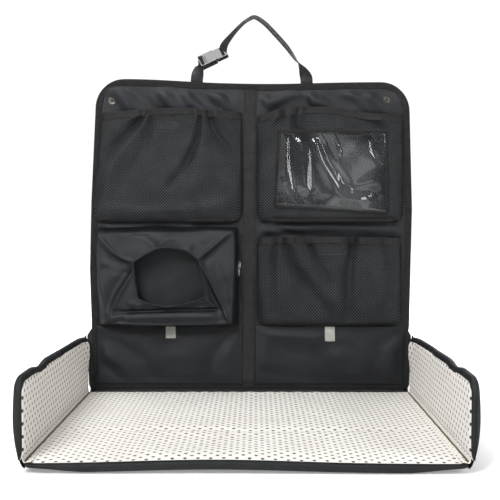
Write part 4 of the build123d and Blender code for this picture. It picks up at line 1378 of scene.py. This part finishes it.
# (y, z) across the two strips that join the organizer to the mat.
REAR_FRONT = [
    (284.0, 18.6), (286.6, 18.7), (288.4, 18.5), (289.3, 19.0), (289.7, 20.6), (289.8, 23.5), (289.4, 27),
    (288.9, 31), (288.8, 35),
]
REAR_BACK = [
    (290.4, 4), (292.2, 8), (294.6, 12), (297.2, 15.4), (299.6, 18.4), (301.2, 22.0), (302.2, 26),
    (302.4, 32),
]


def make_rear_fold():
    """The black strips that join the organizer to the mat's rear edge."""
    for label, half, profile, below in (
        ("front", 312, REAR_FRONT, "mat_printed_pad"), ("back", 323, REAR_BACK, "mat_black_shell")
    ):
        line = spline(profile, 16)
        x, k = grid(stations(-half, half, 7, (0, 1, 3, 6)), np.arange(16))
        y, z = line[k, 0], line[k, 1]
        wave = 0.8 * lumps(x, z * 3, 30, 6) * np.sin(k * math.pi / 15)
        p = np.stack([x, y + wave * 0.6, z + wave], -1)
        strip = surface(f"rear_fold_{label}", p, BLACK_SHELL, flip=label == "back", thick=0.9)
        if label == "front":
            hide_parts("rear_hinge_tape")
        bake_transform(strip)


def make_rear_ear(side, body):
    """A small folded ear of the shell's cloth at the wing's rear upper corner."""
    front, low, high = 262, 78, wing_top(262.0) - 3
    u, v = grid(np.linspace(0, 1, 18), np.linspace(0, 1, 14))
    z = WING_LOW + low + (high - low) * v + 4 * u * v
    x = 333.5 - 5.5 * u + 1.8 * np.sin(math.pi * v) + 1.2 * np.sin(u * 9) * v
    p = np.stack([side * x, front + 24 * u, z], -1)
    piece = surface(f"{body}_rear_ear", p, BLACK_SHELL, flip=side < 0, thick=1.2)
    settle(piece, body, "black_polyester")


# (z, x) of the outer edge of the organizer's foot ears.
EAR_EDGE = [(21, 321), (30, 325), (70, 327), (118, 328), (131, 328), (137, 324.5), (146, 318.5), (150, 313)]


def make_foot_ear(side, name):
    """The padded black flare at the foot of the organizer that closes the corner behind a wing."""
    inner_x, low, high = 292, 21, 150
    u, z = grid(np.linspace(0, 1, 14), np.linspace(low, high, 46))
    x = inner_x + (np.interp(z, *zip(*EAR_EDGE)) - inner_x) * u
    puff = np.sqrt(np.clip(1 - u**4, 0, 1)) * np.sqrt(np.clip(1 - np.abs((z - 85.5) / 64.5) ** 10, 0, 1))
    ruck = 0.7 * lumps(x, z, 16, 5) * puff
    forward = 5.4 * ramp(u, 0.6, 0.82) * ramp(z, 34, 46) * ramp(-z, -132, -122)
    front = np.stack([side * x, 295.2 - (4.2 + forward) * puff - ruck, z], -1)
    back = np.stack([side * x, 295.6 + 3.2 * puff - ruck, z], -1)
    piece = pad(f"{name}_foot_ear", front, back, BLACK_SHELL)
    settle(piece, "organizer", "black_polyester")
    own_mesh(piece)


# ---- Inside: pieces that only show through gaps ----


def finish_inside():
    """Finishes the CAD's own padding and boards, which only show through gaps."""
    for side in ("left", "right"):
        finish_node(f"{side}_organizer_padding", FOAM)
        finish_node(f"{side}_organizer_board", BOARD)


# ---- Studio ----


def place(name, data, location):
    holder = bpy.data.objects.new(name, data)
    scene.collection.objects.link(holder)
    holder.location = location
    return holder


def light(name, location, target, size, watts):
    lamp = bpy.data.lights.new(name, "AREA")
    lamp.shape, lamp.energy = "RECTANGLE", watts
    lamp.size, lamp.size_y = size
    way = Vector(target) - Vector(location)
    place(name, lamp, location).rotation_euler = way.to_track_quat("-Z", "Y").to_euler()


def make_floor():
    """A pale floor that glows more with distance, so that it meets the white background softly."""
    f = Finish("studio_floor", Roughness=0.9, Specular_IOR_Level=0.1, Emission_Strength=1.0)
    far = f.add("VectorMath", f.place(), operation="LENGTH", out=1)
    f.put("Emission Color", f.math("MULTIPLY", f.fade(far, 0.7, 2.2, 0.3, 1.2), f.add("LightPath")))
    f.put("Base Color", f.blend(f.noise(0.8, 2), rgb(250, 250, 250), rgb(252, 252, 251)))
    corners = [(-9000, -6000, -0.2), (9000, -6000, -0.2), (9000, 9000, -0.2), (-9000, 9000, -0.2)]
    mesh_piece("studio_floor", corners, [(0, 1, 2, 3)], f.material)


def make_world():
    """White to the camera, and a dim cool light to everything else."""
    world = bpy.data.worlds.new("studio")
    scene.world = world
    world.use_nodes = True
    tree = world.node_tree
    tree.nodes.clear()
    kinds = ("OutputWorld", "MixShader", "Background", "Background", "LightPath")
    out, mix, seen, lit, path = (tree.nodes.new("ShaderNode" + kind) for kind in kinds)
    for node, colour, strength in ((seen, (1, 1, 1, 1), 1.05), (lit, (0.93, 0.97, 1.0, 1), 0.12)):
        node.inputs["Color"].default_value, node.inputs["Strength"].default_value = colour, strength
    for index, source in enumerate((path.outputs["Is Camera Ray"], lit.outputs[0], seen.outputs[0])):
        tree.links.new(source, mix.inputs[index])
    tree.links.new(mix.outputs[0], out.inputs[0])


def make_studio():
    make_floor()
    make_world()
    light("key_softbox", (-1.1, -2.3, 2.1), (0, 0.2, 0.3), (1.1, 1.1), 82)
    light("top_softbox", (-0.5, -0.15, 2.9), (0, 0.0, 0.1), (2.2, 1.6), 44)
    light("fill_softbox", (2.2, -1.6, 1.3), (0, 0.2, 0.3), (0.9, 1.5), 34)
    light("back_softbox", (0.4, 2.6, 2.0), (0, 0.2, 0.3), (2.4, 1.4), 34)
    light("front_strip", (-0.35, -2.9, 1.15), (0, 0.3, 0.4), (1.9, 0.6), 3.6)

    view = scene.view_settings
    view.view_transform, view.look, view.exposure = "Standard", "None", 0.0

    camera = bpy.data.cameras.new("camera")
    camera.lens, camera.sensor_width = 71.35, 36
    camera.clip_start, camera.clip_end = 0.05, 40
    scene.camera = place("camera", camera, (0.013, -1.706, 0.373))
    scene.camera.rotation_euler = Euler((math.radians(90 - 1.98), 0, math.radians(0.312)))


make_mat()
for side, body in ((-1, "left_wing"), (1, "right_wing")):
    make_wing(side, body)
    make_fold(side, body)
    make_rear_ear(side, body)
make_rear_fold()
make_panel()
make_foot_ear(-1, "left")
make_foot_ear(1, "right")
for label, pocket in POCKETS.items():
    make_pocket(label, pocket)
make_window()
for place_name, x_range, z_range in (
    ("top_left", (-183, -139), (548, 578)),
    ("top_right", (139, 189), (551, 577)),
    ("bottom_right", (138, 198), (295, 316)),
):
    patch(f"{place_name}_loop_patch", x_range, z_range, f"{place_name}_closure_patch")
make_wipes_pocket()
make_zipper()
make_lower_panel("left", (-307, -13), LEFT_TAB_X, 4)
make_lower_panel("right", (13, 311), RIGHT_TAB_X, 6)
make_tab("left", LEFT_TAB_X, 24)
make_tab("right", RIGHT_TAB_X, 30)
make_snaps()
make_anchors()
make_hanger()
finish_inside()
make_studio()
